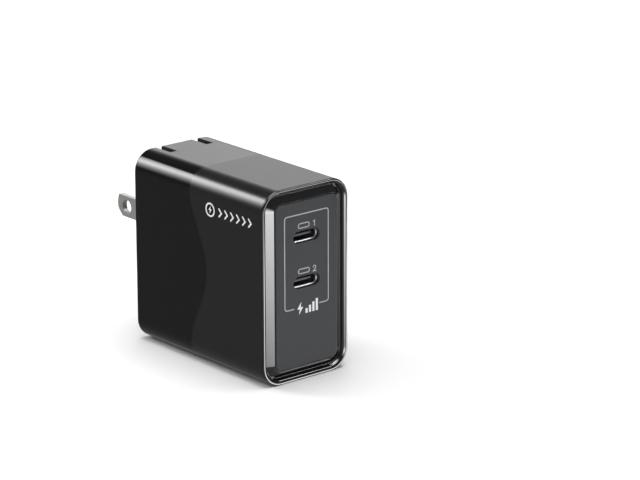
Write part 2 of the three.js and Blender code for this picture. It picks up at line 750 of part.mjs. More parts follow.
function winding() {
  const low = BOBBIN_LOW + BOBBIN_WALL + REST_GAP;
  const high = BOBBIN_HIGH - BOBBIN_WALL - REST_GAP;
  return legRing(BOBBIN_OUTER + REST_GAP, FLANGE_OUTER, low, high);
}

const transformer = assembly(
  [SEAT_X, CORE_CENTRE_Y, CORE_CENTRE_Z],
  piece('transformer_core_inner', coreHalf(false), FINISH.ferrite),
  piece('transformer_core_outer', coreHalf(true), FINISH.ferrite),
  piece('transformer_bobbin', bobbin(), FINISH.innerBlack),
  piece('transformer_winding', winding(), FINISH.tape),
);

// ---------------------------------------------------------------- capacitors, choke and chips

// A can with a rounded rim, standing on its base along +Y until it is turned
function canGeometry(radius, length) {
  const rim = CAN_RIM;
  const profile = [
    [0, 0],
    [radius - rim, 0],
    [radius, rim],
    [radius, length - rim],
    [radius - rim, length],
    [0, length],
  ];
  const points = profile.map(([r, h]) => new THREE.Vector2(r, h));
  return new THREE.LatheGeometry(points, ROUND_STEPS);
}

function standingCan(name, radius, length, material, place, axis) {
  const can = piece(name, canGeometry(radius, length), material, place);
  can.rotation.x = axis === 'z' ? Math.PI / 2 : 0;
  can.rotation.z = axis === 'x' ? -Math.PI / 2 : 0;
  return can;
}

// A plain moulded body that rests on a board: its size along X, Y and Z and where its middle is
function moulding(name, size, material, x, y, z) {
  const [width, depth, height] = size;
  const body = block(around(0, width), around(0, depth), around(0, height));
  return piece(name, body, material, [x, y, z]);
}

const BULK_X = SEAT_X + BULK_RADIUS;
const BULK_BASE = CASE_WALL + WALL_GAP + LINER_THICKNESS + WALL_GAP;
const BULK_REAR_Y = COVER_BACK - PART_GAP - BULK_RADIUS;
const BULK_STEP = 2 * BULK_RADIUS + PART_GAP;

function bulkCapacitors() {
  return [0, 1].map((i) => {
    const place = [BULK_X, BULK_REAR_Y - i * BULK_STEP, BULK_BASE];
    const name = `bulk_capacitor_${i + 1}`;
    return standingCan(name, BULK_RADIUS, BULK_LENGTH, FINISH.foil, place, 'z');
  });
}

const OUTPUT_ROW_Y = PORT_BOARD_BACK + OUTPUT_ROW_SETBACK;

function outputCapacitors() {
  return [0, 1].map((i) => {
    const z = BOARD_LOW + OUTPUT_ROW_LOW + i * (2 * OUTPUT_CAP_RADIUS + PART_GAP);
    const place = [SEAT_X, OUTPUT_ROW_Y, z];
    const name = `output_capacitor_${i + 1}`;
    return standingCan(name, OUTPUT_CAP_RADIUS, OUTPUT_CAP_LENGTH, FINISH.foil, place, 'x');
  });
}

// The choke's ring lies in X and Z with its axis along Y
function chokeRing(outer, inner, length) {
  const half = length / 2;
  const profile = [
    [inner, -half],
    [outer, -half],
    [outer, half],
    [inner, half],
    [inner, -half],
  ];
  const points = profile.map(([r, h]) => new THREE.Vector2(r, h));
  return new THREE.LatheGeometry(points, ROUND_STEPS);
}

// One winding covers the ring on its own side of the middle
function chokeWinding(side) {
  const gap = FIT_GAP;
  const outer = CHOKE_RADIUS + gap + CHOKE_WIRE;
  const inner = CHOKE_BORE - gap - CHOKE_WIRE;
  const wrap = chokeRing(outer, inner, CHOKE_LENGTH + 2 * (gap + CHOKE_WIRE));
  const hollow = chokeRing(CHOKE_RADIUS + gap, CHOKE_BORE - gap, CHOKE_LENGTH + 2 * gap);
  const reach = outer + 1;
  const xs = side < 0 ? [-reach, -CHOKE_SPLIT] : [CHOKE_SPLIT, reach];
  return common(cut(wrap, hollow), block(xs, [-reach, reach], [-reach, reach]));
}

const CHOKE_HALF = CHOKE_LENGTH / 2 + FIT_GAP + CHOKE_WIRE;
const CHOKE_PLACE = [
  SEAT_X + CHOKE_STANDOFF + CHOKE_RADIUS + CHOKE_WIRE,
  INPUT_BOARD_FRONT - REST_GAP - CHOKE_HALF,
  CRADLE_BOTTOM + PART_GAP + CHOKE_RADIUS + CHOKE_WIRE,
];

const choke = assembly(
  CHOKE_PLACE,
  piece('choke_core', chokeRing(CHOKE_RADIUS, CHOKE_BORE, CHOKE_LENGTH), FINISH.ferrite),
  piece('choke_winding_1', chokeWinding(-1), FINISH.copper),
  piece('choke_winding_2', chokeWinding(1), FINISH.copper),
);

const INPUT_TOP = CRADLE_BOTTOM + INPUT_BOARD_HEIGHT;
const LOWER_MID = BULK_BASE + BULK_LENGTH / 2;
const UNDER_CORE = CORE_CENTRE_Z - CORE_WIDTH / 2 - PART_GAP;
const FUSE_X = CHOKE_PLACE[0] + CHOKE_RADIUS + CHOKE_WIRE + PART_GAP + FUSE_SIZE[0] / 2;
const INDUCTOR_X = INNER_X - BOARD_MARGIN - PART_GAP - INDUCTOR_SIZE[0] / 2;
const INDUCTOR_LOW = BOARD_LOW + PART_GAP + INDUCTOR_SIZE[2] / 2;
const INDUCTOR_STEP = INDUCTOR_SIZE[2] + PART_GAP;

const onMainFace = (size) => SEAT_X + size[0] / 2;
const onSolderSide = (size) => MAIN_BOARD_LEFT - REST_GAP - size[0] / 2;
const onInputFront = (size) => INPUT_BOARD_FRONT - REST_GAP - size[1] / 2;
const onInputBack = (size) => INPUT_BOARD_BACK + REST_GAP + size[1] / 2;
const onPortBack = (size) => PORT_BOARD_BACK + REST_GAP + size[1] / 2;

function inputParts() {
  const filterZ = INPUT_TOP - FILTER_SIZE[2] / 2;
  const bridgeZ = INPUT_TOP - PART_GAP - BRIDGE_SIZE[2] / 2;
  const fuseY = onInputFront(FUSE_SIZE);
  return [
    moulding('filter_capacitor', FILTER_SIZE, FINISH.boxed, 0, onInputFront(FILTER_SIZE), filterZ),
    moulding('fuse', FUSE_SIZE, FINISH.chip, FUSE_X, fuseY, CHOKE_PLACE[2]),
    moulding('bridge_rectifier', BRIDGE_SIZE, FINISH.chip, 0, onInputBack(BRIDGE_SIZE), bridgeZ),
  ];
}

// The flat chips sit on the board's solder side, the tall parts on its open face
function mainParts() {
  const chip = (name, size, y, z) => moulding(name, size, FINISH.chip, onSolderSide(size), y, z);
  const isolatorX = onMainFace(ISOLATOR_SIZE);
  const isolatorZ = UNDER_CORE - ISOLATOR_SIZE[2] / 2;
  const discX = SEAT_X + ISOLATOR_SIZE[0] + PART_GAP + LINE_CAP_RADIUS;
  const discPlace = [discX, OUTPUT_ROW_Y - LINE_CAP_LENGTH / 2, UNDER_CORE - LINE_CAP_RADIUS];
  const disc = canGeometry(LINE_CAP_RADIUS, LINE_CAP_LENGTH);
  const isolator = [isolatorX, OUTPUT_ROW_Y, isolatorZ];
  return [
    chip('gan_switch', SWITCH_SIZE, BULK_REAR_Y - BULK_STEP, LOWER_MID),
    chip('primary_controller', CONTROLLER_SIZE, OUTPUT_ROW_Y, LOWER_MID),
    chip('sync_rectifier', RECTIFIER_SIZE, OUTPUT_ROW_Y, CORE_CENTRE_Z),
    moulding('opto_isolator', ISOLATOR_SIZE, FINISH.chip, ...isolator),
    piece('line_capacitor', disc, FINISH.ceramic, discPlace),
  ];
}

function portParts() {
  const inductorY = onPortBack(INDUCTOR_SIZE);
  const inductors = [0, 1].map((i) => {
    const z = INDUCTOR_LOW + i * INDUCTOR_STEP;
    return moulding(`buck_inductor_${i + 1}`, INDUCTOR_SIZE, FINISH.ferrite, INDUCTOR_X, inductorY, z);
  });
  const chipY = onPortBack(PORT_CHIP_SIZE);
  const header = [onMainFace(HEADER_SIZE), onPortBack(HEADER_SIZE), BOARD_LOW + HEADER_SIZE[2] / 2];
  return [
    ...inductors,
    moulding('port_controller', PORT_CHIP_SIZE, FINISH.chip, 0, chipY, CORE_CENTRE_Z),
    moulding('board_header', HEADER_SIZE, FINISH.innerBlack, ...header),
  ];
}

// ---------------------------------------------------------------- whole charger

const charger = new THREE.Group();
charger.name = 'wall_charger';
charger.add(housing, plug, cradle, ports, boards, transformer, choke);
charger.add(...bulkCapacitors(), ...outputCapacitors());
charger.add(...inputParts(), ...mainParts(), ...portParts());

export default charger;
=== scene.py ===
"""Look of a wall charger with two USB-C ports and folding plug blades.

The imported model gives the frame: metres, +Z up, the ports facing -Y and the blades pointing
to +Y. Each class below holds the sizes of one sub-assembly in millimetres, builds its meshes
and dresses them.
"""

import logging
import math
import random
from dataclasses import dataclass, field
from enum import Enum
from typing import Callable, Sequence

import bmesh
import bpy
from mathutils import Matrix, Vector


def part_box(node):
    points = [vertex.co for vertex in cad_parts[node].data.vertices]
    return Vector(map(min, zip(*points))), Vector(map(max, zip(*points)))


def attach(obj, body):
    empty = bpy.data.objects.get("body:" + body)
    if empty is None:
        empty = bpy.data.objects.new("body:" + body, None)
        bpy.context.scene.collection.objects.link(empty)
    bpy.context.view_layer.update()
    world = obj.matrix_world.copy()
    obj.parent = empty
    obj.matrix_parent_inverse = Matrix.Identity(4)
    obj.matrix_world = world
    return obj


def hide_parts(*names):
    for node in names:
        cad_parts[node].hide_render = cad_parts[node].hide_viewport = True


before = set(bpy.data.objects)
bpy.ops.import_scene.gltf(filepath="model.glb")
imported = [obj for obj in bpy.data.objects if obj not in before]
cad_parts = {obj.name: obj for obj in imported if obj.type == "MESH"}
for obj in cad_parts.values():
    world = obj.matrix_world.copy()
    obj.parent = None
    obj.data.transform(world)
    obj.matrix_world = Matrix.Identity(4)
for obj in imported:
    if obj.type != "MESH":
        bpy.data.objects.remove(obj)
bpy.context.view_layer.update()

log = logging.getLogger("charger")

MM = 0.001
HOUSING = "housing"
PLUG = "plug"

Point2 = tuple[float, float]
Point3 = tuple[float, float, float]
Colour = tuple[float, float, float]
Work = bmesh.types.BMesh
Corners = list[bmesh.types.BMVert]


# ---------------------------------------------------------------- shader maths


class Signal:
    """A shader value; arithmetic on it adds Math nodes to its graph."""

    def __init__(self, graph: "Graph", socket: bpy.types.NodeSocket) -> None:
        """Wraps one output socket.

        Args:
            graph: The graph that the socket belongs to.
            socket: The output socket.
        """
        self.graph = graph
        self.socket = socket

    def math(self, operation: str, *others: "Signal | float") -> "Signal":
        """Adds one Math node that starts with this value.

        Args:
            operation: The Math node's operation.
            *others: The node's further operands.

        Returns:
            The node's result.
        """
        operands = dict(enumerate((self, *others)))
        return self.graph.node("ShaderNodeMath", {"operation": operation}, operands)

    def _after(self, operation: str, first: float) -> "Signal":
        """Adds one Math node that ends with this value.

        Args:
            operation: The Math node's operation.
            first: The number that comes before this value.

        Returns:
            The node's result.
        """
        operands = {0: first, 1: self}
        return self.graph.node("ShaderNodeMath", {"operation": operation}, operands)

    def __add__(self, other: "Signal | float") -> "Signal":
        """Sum."""
        return self.math("ADD", other)

    def __radd__(self, other: float) -> "Signal":
        """Sum with a number on the left."""
        return self._after("ADD", other)

    def __sub__(self, other: "Signal | float") -> "Signal":
        """Difference."""
        return self.math("SUBTRACT", other)

    def __rsub__(self, other: float) -> "Signal":
        """Difference from a number on the left."""
        return self._after("SUBTRACT", other)

    def __mul__(self, other: "Signal | float") -> "Signal":
        """Product."""
        return self.math("MULTIPLY", other)

    def __rmul__(self, other: float) -> "Signal":
        """Product with a number on the left."""
        return self._after("MULTIPLY", other)

    def above(self, limit: float, softness: float) -> "Signal":
        """A mask that rises from 0 to 1 over a short ramp round a limit.

        Args:
            limit: The value where the mask is one half.
            softness: The length of the ramp.

        Returns:
            The mask.
        """
        ramp = (self - (limit - softness / 2)) * (1 / softness)
        return ramp.math("MAXIMUM", 0.0).math("MINIMUM", 1.0)


class Graph:
    """The node tree of one material, lamp or world."""

    def __init__(self, owner: bpy.types.Material | bpy.types.Light | bpy.types.World) -> None:
        """Empties the owner's node tree.

        Args:
            owner: The material, lamp or world.
        """
        owner.use_nodes = True
        self.tree = owner.node_tree
        self.tree.nodes.clear()

    def node(
        self,
        kind: str,
        settings: dict[str, object] | None = None,
        inputs: dict[str | int, object] | None = None,
        output: str | int = 0,
    ) -> Signal:
        """Adds one node.

        Args:
            kind: The node's type.
            settings: Its settings, such as a Math node's operation, which are set first.
            inputs: A value or a Signal for each named or numbered input socket.
            output: The output socket that is wanted.

        Returns:
            That output.
        """
        made = self.tree.nodes.new(kind)
        for key, value in (settings or {}).items():
            setattr(made, key, value)
        for key, value in (inputs or {}).items():
            if isinstance(value, Signal):
                self.tree.links.new(value.socket, made.inputs[key])
            else:
                made.inputs[key].default_value = value
        return Signal(self, made.outputs[output])

    def place(self, stretch: Point3 = (1.0, 1.0, 1.0), centre: Point3 = (0.0, 0.0, 0.0)) -> Signal:
        """The place on the piece in millimetres from a centre, stretched along each axis.

        Args:
            stretch: How much each axis counts.
            centre: The place, in millimetres, that becomes zero.

        Returns:
            The vector.
        """
        point = self.node("ShaderNodeTexCoord", output="Object")
        scale = tuple(value / MM for value in stretch)
        shift = tuple(-at * by for at, by in zip(centre, stretch))
        settings = {"operation": "MULTIPLY_ADD"}
        return self.node("ShaderNodeVectorMath", settings, {0: point, 1: scale, 2: shift})

    def axes(self, vector: Signal) -> tuple[Signal, Signal, Signal]:
        """The three parts of a vector.

        Args:
            vector: The vector.

        Returns:
            Its parts along X, Y and Z.
        """
        parts = [self.node("ShaderNodeSeparateXYZ", None, {0: vector}, at) for at in range(3)]
        return parts[0], parts[1], parts[2]

    def noise(self, vector: Signal, size: float, detail: float = 2.0) -> Signal:
        """Soft noise round one half.

        Args:
            vector: Where it is read.
            size: The size of its features, in the vector's units.
            detail: How many finer layers it holds.

        Returns:
            The noise's value.
        """
        inputs = {"Vector": vector, "Scale": 1.0 / size, "Detail": detail}
        return self.node("ShaderNodeTexNoise", None, inputs)

    def cells(self, vector: Signal, size: float) -> Signal:
        """The distance to the nearest of many scattered points.

        Args:
            vector: Where it is read.
            size: The usual distance between the points, in the vector's units.

        Returns:
            The distance, as a share of that size.
        """
        inputs = {"Vector": vector, "Scale": 1.0 / size}
        return self.node("ShaderNodeTexVoronoi", {"feature": "F1"}, inputs, "Distance")

    def blend(self, share: Signal, low: "Colour | Signal", high: "Colour | Signal") -> Signal:
        """Mixes two colours.

        Args:
            share: How much of the second colour shows.
            low: The first colour.
            high: The second colour.

        Returns:
            The mixed colour.
        """
        ends = [end if isinstance(end, Signal) else (*end, 1.0) for end in (low, high)]
        settings = {"data_type": "RGBA", "clamp_factor": True}
        return self.node("ShaderNodeMix", settings, {0: share, 6: ends[0], 7: ends[1]}, 2)

    def relief(self, height: Signal, depth: float) -> Signal:
        """A bumped normal.

        Args:
            height: The height, from 0 to 1.
            depth: What a height of 1 stands for, in millimetres.

        Returns:
            The normal.
        """
        inputs = {"Height": height, "Distance": depth * MM, "Strength": 1.0}
        return self.node("ShaderNodeBump", None, inputs)

    def end(self, shader: Signal, ending: str = "ShaderNodeOutputMaterial") -> None:
        """Ends the graph in its output node.

        Args:
            shader: The shader that is shown.
            ending: The output node's type.
        """
        output = self.tree.nodes.new(ending)
        self.tree.links.new(shader.socket, output.inputs["Surface"])


# ---------------------------------------------------------------- finishes


class Direction(Enum):
    """An axis that streaks or strands run along."""

    X = 0
    Y = 1
    Z = 2

    def stretched(self, share: float) -> Point3:
        """The stretch that makes a pattern long along this axis.

        Args:
            share: How little the axis counts beside the other two.

        Returns:
            The stretch of each axis.
        """
        values = [1.0, 1.0, 1.0]
        values[self.value] = share
        return values[0], values[1], values[2]


NOISE_MIDDLE = 0.5


def shade(colour: Colour, share: float) -> Colour:
    """A colour made lighter or darker."""
    return colour[0] * share, colour[1] * share, colour[2] * share


def swing(colour: Colour, by: float) -> tuple[Colour, Colour]:
    """The darker and the lighter end that a colour drifts between."""
    return shade(colour, 1.0 - by), shade(colour, 1.0 + by)


@dataclass(frozen=True)
class Finish:
    """What every finish has; subclasses say how it varies over the surface."""

    name: str
    colour: Colour
    roughness: float
    metallic: float = 0.0
    specular: float = 0.5
    index: float = 1.46

    def material(self) -> bpy.types.Material:
        """Makes the finish's material."""
        made = bpy.data.materials.new(self.name)
        graph = Graph(made)
        inputs = {
            "Metallic": self.metallic,
            "Specular IOR Level": self.specular,
            "IOR": self.index,
        }
        inputs.update(self.pattern(graph))
        graph.end(graph.node("ShaderNodeBsdfPrincipled", None, inputs))
        return made

    def pattern(self, graph: Graph) -> dict[str | int, object]:
        """Gives what varies over the surface.

        Args:
            graph: The material's graph.

        Returns:
            Shader sockets with their links.
        """
        raise NotImplementedError


@dataclass(frozen=True)
class Moulded(Finish):
    """A moulded or cast surface: slow drifts of tone, and the tool's fine texture."""

    drift: float = 0.08
    drift_size: float = 14.0
    spread: float = 0.06
    slow_share: float = 0.7
    grain_size: float = 0.16
    grain_depth: float = 0.004

    def pattern(self, graph: Graph) -> dict[str | int, object]:
        """Drifting tone, uneven roughness and fine relief.

        Args:
            graph: The material's graph.

        Returns:
            Shader sockets with their links.
        """
        place = graph.place()
        slow = graph.noise(place, self.drift_size)
        fine = graph.noise(place, self.grain_size, detail=3.0)
        tone = slow * self.slow_share + fine * (1.0 - self.slow_share)
        return {
            "Base Color": graph.blend(tone, *swing(self.colour, self.drift)),
            "Roughness": self.roughness + (tone - NOISE_MIDDLE) * self.spread,
            "Normal": graph.relief(fine, self.grain_depth),
        }


@dataclass(frozen=True)
class Polished(Finish):
    """A mirror-polished moulding: faint flow waves, wiped marks and hairline scratches."""

    drift: float = 0.15
    wave_size: float = 5.0
    wave_depth: float = 0.004
    smear: float = 0.05
    smear_size: float = 2.4
    smear_stretch: Point3 = (0.25, 1.0, 0.6)
    hair: float = 0.03
    hair_size: float = 0.12
    hair_stretch: Point3 = (1.0, 0.03, 0.6)
    hair_limit: float = 0.74

    def pattern(self, graph: Graph) -> dict[str | int, object]:
        """Slow waves, smears in the roughness and a few hairlines.

        Args:
            graph: The material's graph.

        Returns:
            Shader sockets with their links.
        """
        place = graph.place()
        wave = graph.noise(place, self.wave_size, detail=1.0)
        smears = graph.noise(graph.place(self.smear_stretch), self.smear_size, detail=3.0)
        wiped = smears.above(NOISE_MIDDLE, 0.4) * self.smear
        hairs = graph.noise(graph.place(self.hair_stretch), self.hair_size, detail=1.0)
        scratched = hairs.above(self.hair_limit, 0.04) * self.hair
        return {
            "Base Color": graph.blend(wave, *swing(self.colour, self.drift)),
            "Roughness": self.roughness + wiped + scratched,
            "Normal": graph.relief(wave, self.wave_depth),
        }


@dataclass(frozen=True)
class Drawn(Finish):
    """A metal with fine lines along its rolling or drawing direction."""

    run: Direction = Direction.Y
    line_stretch: float = 0.03
    line_size: float = 0.12
    line_depth: float = 0.0012
    line_spread: float = 0.16
    stain: float = 0.06
    stain_size: float = 3.5
    stain_spread: float = 0.08
    stain_share: float = 0.6

    def pattern(self, graph: Graph) -> dict[str | int, object]:
        """Fine parallel lines and slight staining.

        Args:
            graph: The material's graph.

        Returns:
            Shader sockets with their links.
        """
        along = graph.place(self.run.stretched(self.line_stretch))
        lines = graph.noise(along, self.line_size, detail=3.0)
        stain = graph.noise(graph.place(), self.stain_size, detail=3.0)
        tone = stain * self.stain_share + lines * (1.0 - self.stain_share)
        scored = (lines - NOISE_MIDDLE) * self.line_spread
        dulled = (stain - NOISE_MIDDLE) * self.stain_spread
        return {
            "Base Color": graph.blend(tone, *swing(self.colour, self.stain)),
            "Roughness": self.roughness + scored + dulled,
            "Normal": graph.relief(lines, self.line_depth),
        }


@dataclass(frozen=True)
class Inked(Finish):
    """A pad-printed ink film with tiny pinholes where the grain under it shows."""

    under: Colour = (0.05, 0.05, 0.05)
    pinhole_size: float = 0.07
    pinhole_limit: float = 0.3
    pinhole_share: float = 0.5
    cloud_size: float = 2.0
    film_depth: float = 0.003

    def pattern(self, graph: Graph) -> dict[str | int, object]:
        """Speckled ink.

        Args:
            graph: The material's graph.

        Returns:
            Shader sockets with their links.
        """
        place = graph.place()
        grain = graph.noise(place, self.pinhole_size)
        cloud = graph.noise(place, self.cloud_size)
        thin = 1.0 - grain.above(self.pinhole_limit, 0.08)
        solid = graph.blend(cloud, shade(self.colour, 0.95), shade(self.colour, 1.04))
        return {
            "Base Color": graph.blend(thin * self.pinhole_share, solid, self.under),
            "Roughness": self.roughness + (grain - NOISE_MIDDLE) * 0.1,
            "Normal": graph.relief(grain, self.film_depth),
        }


@dataclass(frozen=True)
class Laminate(Finish):
    """A circuit board: solder mask over copper areas, with small plated holes."""

    copper: Colour = (0.06, 0.22, 0.07)
    plating: Colour = (0.75, 0.72, 0.62)
    area_size: float = 5.0
    area_share: float = 0.8
    weave_size: float = 0.4
    weave_stretch: Point3 = (1.0, 1.0, 0.15)
    spot_pitch: float = 2.6
    spot_share: float = 0.14
    relief_depth: float = 0.03

    def pattern(self, graph: Graph) -> dict[str | int, object]:
        """Copper areas under the mask, and bright plated spots.

        Args:
            graph: The material's graph.

        Returns:
            Shader sockets with their links.
        """
        place = graph.place()
        areas = graph.noise(place, self.area_size, detail=0.0).above(NOISE_MIDDLE, 0.02)
        weave = graph.noise(graph.place(self.weave_stretch), self.weave_size, detail=1.0)
        spots = 1.0 - graph.cells(place, self.spot_pitch).above(self.spot_share, 0.02)
        under = areas * self.area_share + weave * (1.0 - self.area_share)
        mask = graph.blend(under, self.colour, self.copper)
        return {
            "Base Color": graph.blend(spots, mask, self.plating),
            "Metallic": spots,
            "Roughness": self.roughness - spots * 0.15 + (weave - NOISE_MIDDLE) * 0.1,
            "Normal": graph.relief(under + spots * 0.3, self.relief_depth),
        }


class Wrap(Enum):
    """How wire or tape goes round a core."""

    STACKED = "turns side by side along X"
    RADIAL = "turns fanned out round an axis along Y"


@dataclass(frozen=True)
class Wound(Finish):
    """Turns of wire or tape, with painted shade in the grooves between them."""

    wrap: Wrap = Wrap.STACKED
    centre: Point3 = (0.0, 0.0, 0.0)
    pitch: float = 0.5
    turns: int = 40
    ridge_share: float = 0.7
    ridge_depth: float = 0.12
    # How far the painted shade in the grooves between turns darkens the colour
    painted_valley_shade: float = 0.45
    cloud_size: float = 1.8

    def pattern(self, graph: Graph) -> dict[str | int, object]:
        """Ridges, one for each turn, with painted shade darkening the grooves between them.

        Args:
            graph: The material's graph.

        Returns:
            Shader sockets with their links.
        """
        place = graph.place(centre=self.centre)
        side, _, up = graph.axes(place)
        if self.wrap is Wrap.STACKED:
            phase = side * (2.0 * math.pi / self.pitch)
        else:
            phase = up.math("ARCTAN2", side) * float(self.turns)
        ridge = phase.math("SINE") * 0.5 + 0.5
        cloud = graph.noise(place, self.cloud_size)
        tone = ridge * self.ridge_share + cloud * (1.0 - self.ridge_share)
        return {
            # The base colour darkens in the grooves between turns: painted shade
            "Base Color": graph.blend(tone, shade(self.colour, self.painted_valley_shade), self.colour),
            "Roughness": self.roughness + (cloud - NOISE_MIDDLE) * 0.15,
            "Normal": graph.relief(ridge, self.ridge_depth),
        }


@dataclass(frozen=True)
class Sleeved(Finish):
    """A capacitor can in its shrink sleeve: a pale stripe down it and a bare, scored end."""

    axis: Direction = Direction.Z
    centre: Point3 = (0.0, 0.0, 0.0)
    radius: float = 6.0
    stripe: Colour = (0.55, 0.56, 0.58)
    stripe_share: float = 0.28
    bare: Colour = (0.78, 0.78, 0.79)
    rim: float = 0.9
    score_half: float = 0.18
    score_depth: float = 0.15
    crease_size: float = 3.0
    drift: float = 0.2

    def pattern(self, graph: Graph) -> dict[str | int, object]:
        """Stripe, bare metal inside the sleeve's rim and a cross scored in it.

        Args:
            graph: The material's graph.

        Returns:
            Shader sockets with their links.
        """
        place = graph.place(centre=self.centre)
        parts = graph.axes(place)
        first, second = [parts[axis.value] for axis in Direction if axis is not self.axis]
        spread = (first * first + second * second).math("SQRT")
        metal = 1.0 - spread.above(self.radius - self.rim, 0.05)
        band = 1.0 - second.math("ABSOLUTE").above(self.radius * self.stripe_share, 0.05)
        facing = first.above(0.0, 0.1) * band * (1.0 - metal)
        crease = graph.noise(place, self.crease_size)
        cross = first.math("ABSOLUTE").math("MINIMUM", second.math("ABSOLUTE"))
        score = (1.0 - cross.above(self.score_half, 0.08)) * metal
        sleeve = graph.blend(crease, *swing(self.colour, self.drift))
        striped = graph.blend(facing, sleeve, self.stripe)
        return {
            "Base Color": graph.blend(metal, striped, self.bare),
            "Metallic": metal,
            "Roughness": self.roughness + (crease - NOISE_MIDDLE) * 0.12,
            "Normal": graph.relief(crease * 0.2 - score, self.score_depth),
        }


@dataclass(frozen=True)
class Speckled(Finish):
    """A sintered or filled body: pressed grit in two tones, with small chips."""

    speck: Colour = (0.2, 0.2, 0.2)
    speck_size: float = 0.5
    grit_share: float = 0.4
    chip_size: float = 2.5
    chip_limit: float = 0.64
    relief_depth: float = 0.04

    def pattern(self, graph: Graph) -> dict[str | int, object]:
        """Grit, specks and shallow chips.

        Args:
            graph: The material's graph.

        Returns:
            Shader sockets with their links.
        """
        place = graph.place()
        grit = graph.noise(place, self.speck_size * self.grit_share, detail=3.0)
        specks = 1.0 - graph.cells(place, self.speck_size).above(0.3, 0.2)
        chips = graph.noise(place, self.chip_size, detail=4.0).above(self.chip_limit, 0.04)
        return {
            "Base Color": graph.blend(specks * 0.4 + grit * 0.3, self.colour, self.speck),
            "Roughness": self.roughness + (grit - NOISE_MIDDLE) * 0.2 - chips * 0.08,
            "Normal": graph.relief(grit * 0.5 - chips * 0.5, self.relief_depth),
        }


# The case keeps its polished rear and its fine spark-eroded front; both are close to black
CASE_GLOSS = Polished("case_gloss", (0.0035, 0.0035, 0.0038), 0.07, specular=0.37)
CASE_MATTE = Moulded(
    "case_fine_matte",
    (0.0065, 0.0065, 0.007),
    0.25,
    specular=0.62,
    drift=0.06,
    spread=0.05,
    grain_size=0.11,
    grain_depth=0.0022,
)
BEZEL_GLOSS = Polished("bezel_piano_black", (0.004, 0.004, 0.0043), 0.05, index=2.0, smear=0.03)
PANEL_MATTE = Moulded(
    "panel_matte", (0.044, 0.046, 0.049), 0.5, specular=0.35, grain_size=0.13, grain_depth=0.004
)
COVER_MATTE = Moulded(
    "cover_matte", (0.05, 0.051, 0.053), 0.5, specular=0.4, grain_size=0.2, grain_depth=0.006
)
INK_PALE = Inked("ink_pale_grey", (0.42, 0.43, 0.44), 0.55, under=(0.055, 0.057, 0.06))
INK_WHITE = Inked("ink_white", (0.8, 0.8, 0.8), 0.5, under=(0.02, 0.02, 0.02))
INK_DIM = Inked("ink_dim_grey", (0.13, 0.13, 0.135), 0.5, under=(0.05, 0.05, 0.053))
BLADE_NICKEL = Drawn("blade_nickel", (0.6, 0.59, 0.57), 0.32, metallic=0.8)
PORT_STEEL = Drawn("port_steel", (0.62, 0.62, 0.63), 0.36, metallic=1.0)
SPRING_STEEL = Drawn("spring_steel", (0.55, 0.55, 0.55), 0.3, metallic=1.0, run=Direction.X)
CONTACT_GOLD = Drawn("contact_gold", (0.83, 0.6, 0.25), 0.22, metallic=1.0)
CONTACT_BRONZE = Drawn("contact_bronze", (0.66, 0.42, 0.2), 0.32, metallic=1.0)
SPREADER_COPPER = Drawn("spreader_copper", (0.78, 0.36, 0.2), 0.3, metallic=1.0, stain=0.15)
TONGUE_GREY = Moulded("tongue_grey", (0.11, 0.11, 0.115), 0.4, grain_size=0.2, grain_depth=0.003)
NYLON = Moulded("nylon_black", (0.014, 0.014, 0.015), 0.45, grain_size=0.3, grain_depth=0.01)
EPOXY = Moulded("epoxy_black", (0.02, 0.02, 0.021), 0.55, grain_size=0.12, grain_depth=0.008)
BOXED = Moulded("capacitor_box", (0.6, 0.45, 0.04), 0.42, grain_size=0.5, grain_depth=0.01)
CERAMIC = Speckled("disc_ceramic", (0.03, 0.12, 0.4), 0.4, speck=(0.05, 0.16, 0.45))
FERRITE = Speckled("ferrite", (0.07, 0.07, 0.073), 0.6, speck=(0.14, 0.14, 0.14))
PAD_SOFT = Speckled("thermal_pad", (0.28, 0.36, 0.42), 0.85, speck=(0.4, 0.46, 0.5))
FILM = Moulded("liner_film", (0.72, 0.69, 0.6), 0.35, drift=0.04, grain_size=2.0)
BOARD = Laminate("circuit_board", (0.01, 0.09, 0.03), 0.4)
FLOOR_PAPER = Moulded(
    "studio_floor", (0.88, 0.88, 0.88), 0.85, drift=0.01, drift_size=90.0, grain_size=1.5
)


# ---------------------------------------------------------------- mesh making

SMALLEST_CORNER = 0.2
# How far a cutting tool reaches past what it cuts
CUT_MARGIN = 1.0
# The angle, in degrees, from which an edge counts as sharp
SHARP = 40.0


@dataclass(frozen=True)
class Outline:
    """A rounded rectangle drawn across the case, sampled alike at every inset."""

    width: float
    height: float
    corner: float
    mid: float = 0.0
    arc_steps: int = 12
    tall_steps: int = 1
    wide_steps: int = 1

    def loop(self, inset: float = 0.0) -> list[Point2]:
        """The outline's points, moved inwards.

        Args:
            inset: How far it is moved.

        Returns:
            The points, from the lower right corner round to the left.
        """
        half_u = self.width / 2 - inset
        half_v = self.height / 2 - inset
        radius = max(self.corner - inset, SMALLEST_CORNER)
        arcs = []
        for turn, (side_u, side_v) in enumerate(((1, -1), (1, 1), (-1, 1), (-1, -1))):
            centre = (side_u * (half_u - radius), self.mid + side_v * (half_v - radius))
            start = (turn - 1) * math.pi / 2
            arcs.append(arc(centre, radius, start, start + math.pi / 2, self.arc_steps))
        points = []
        for turn, corner in enumerate(arcs):
            steps = self.wide_steps if turn % 2 else self.tall_steps
            points += corner + between(corner[-1], arcs[(turn + 1) % 4][0], steps)
        return points


def arc(centre: Point2, radius: float, start: float, end: float, steps: int) -> list[Point2]:
    """Points along an arc.

    Args:
        centre: The arc's centre.
        radius: Its radius.
        start: Its first angle.
        end: Its last angle.
        steps: How many stretches it has.

    Returns:
        The points, both ends included.
    """
    angles = [start + (end - start) * step / steps for step in range(steps + 1)]
    return [(centre[0] + radius * math.cos(a), centre[1] + radius * math.sin(a)) for a in angles]


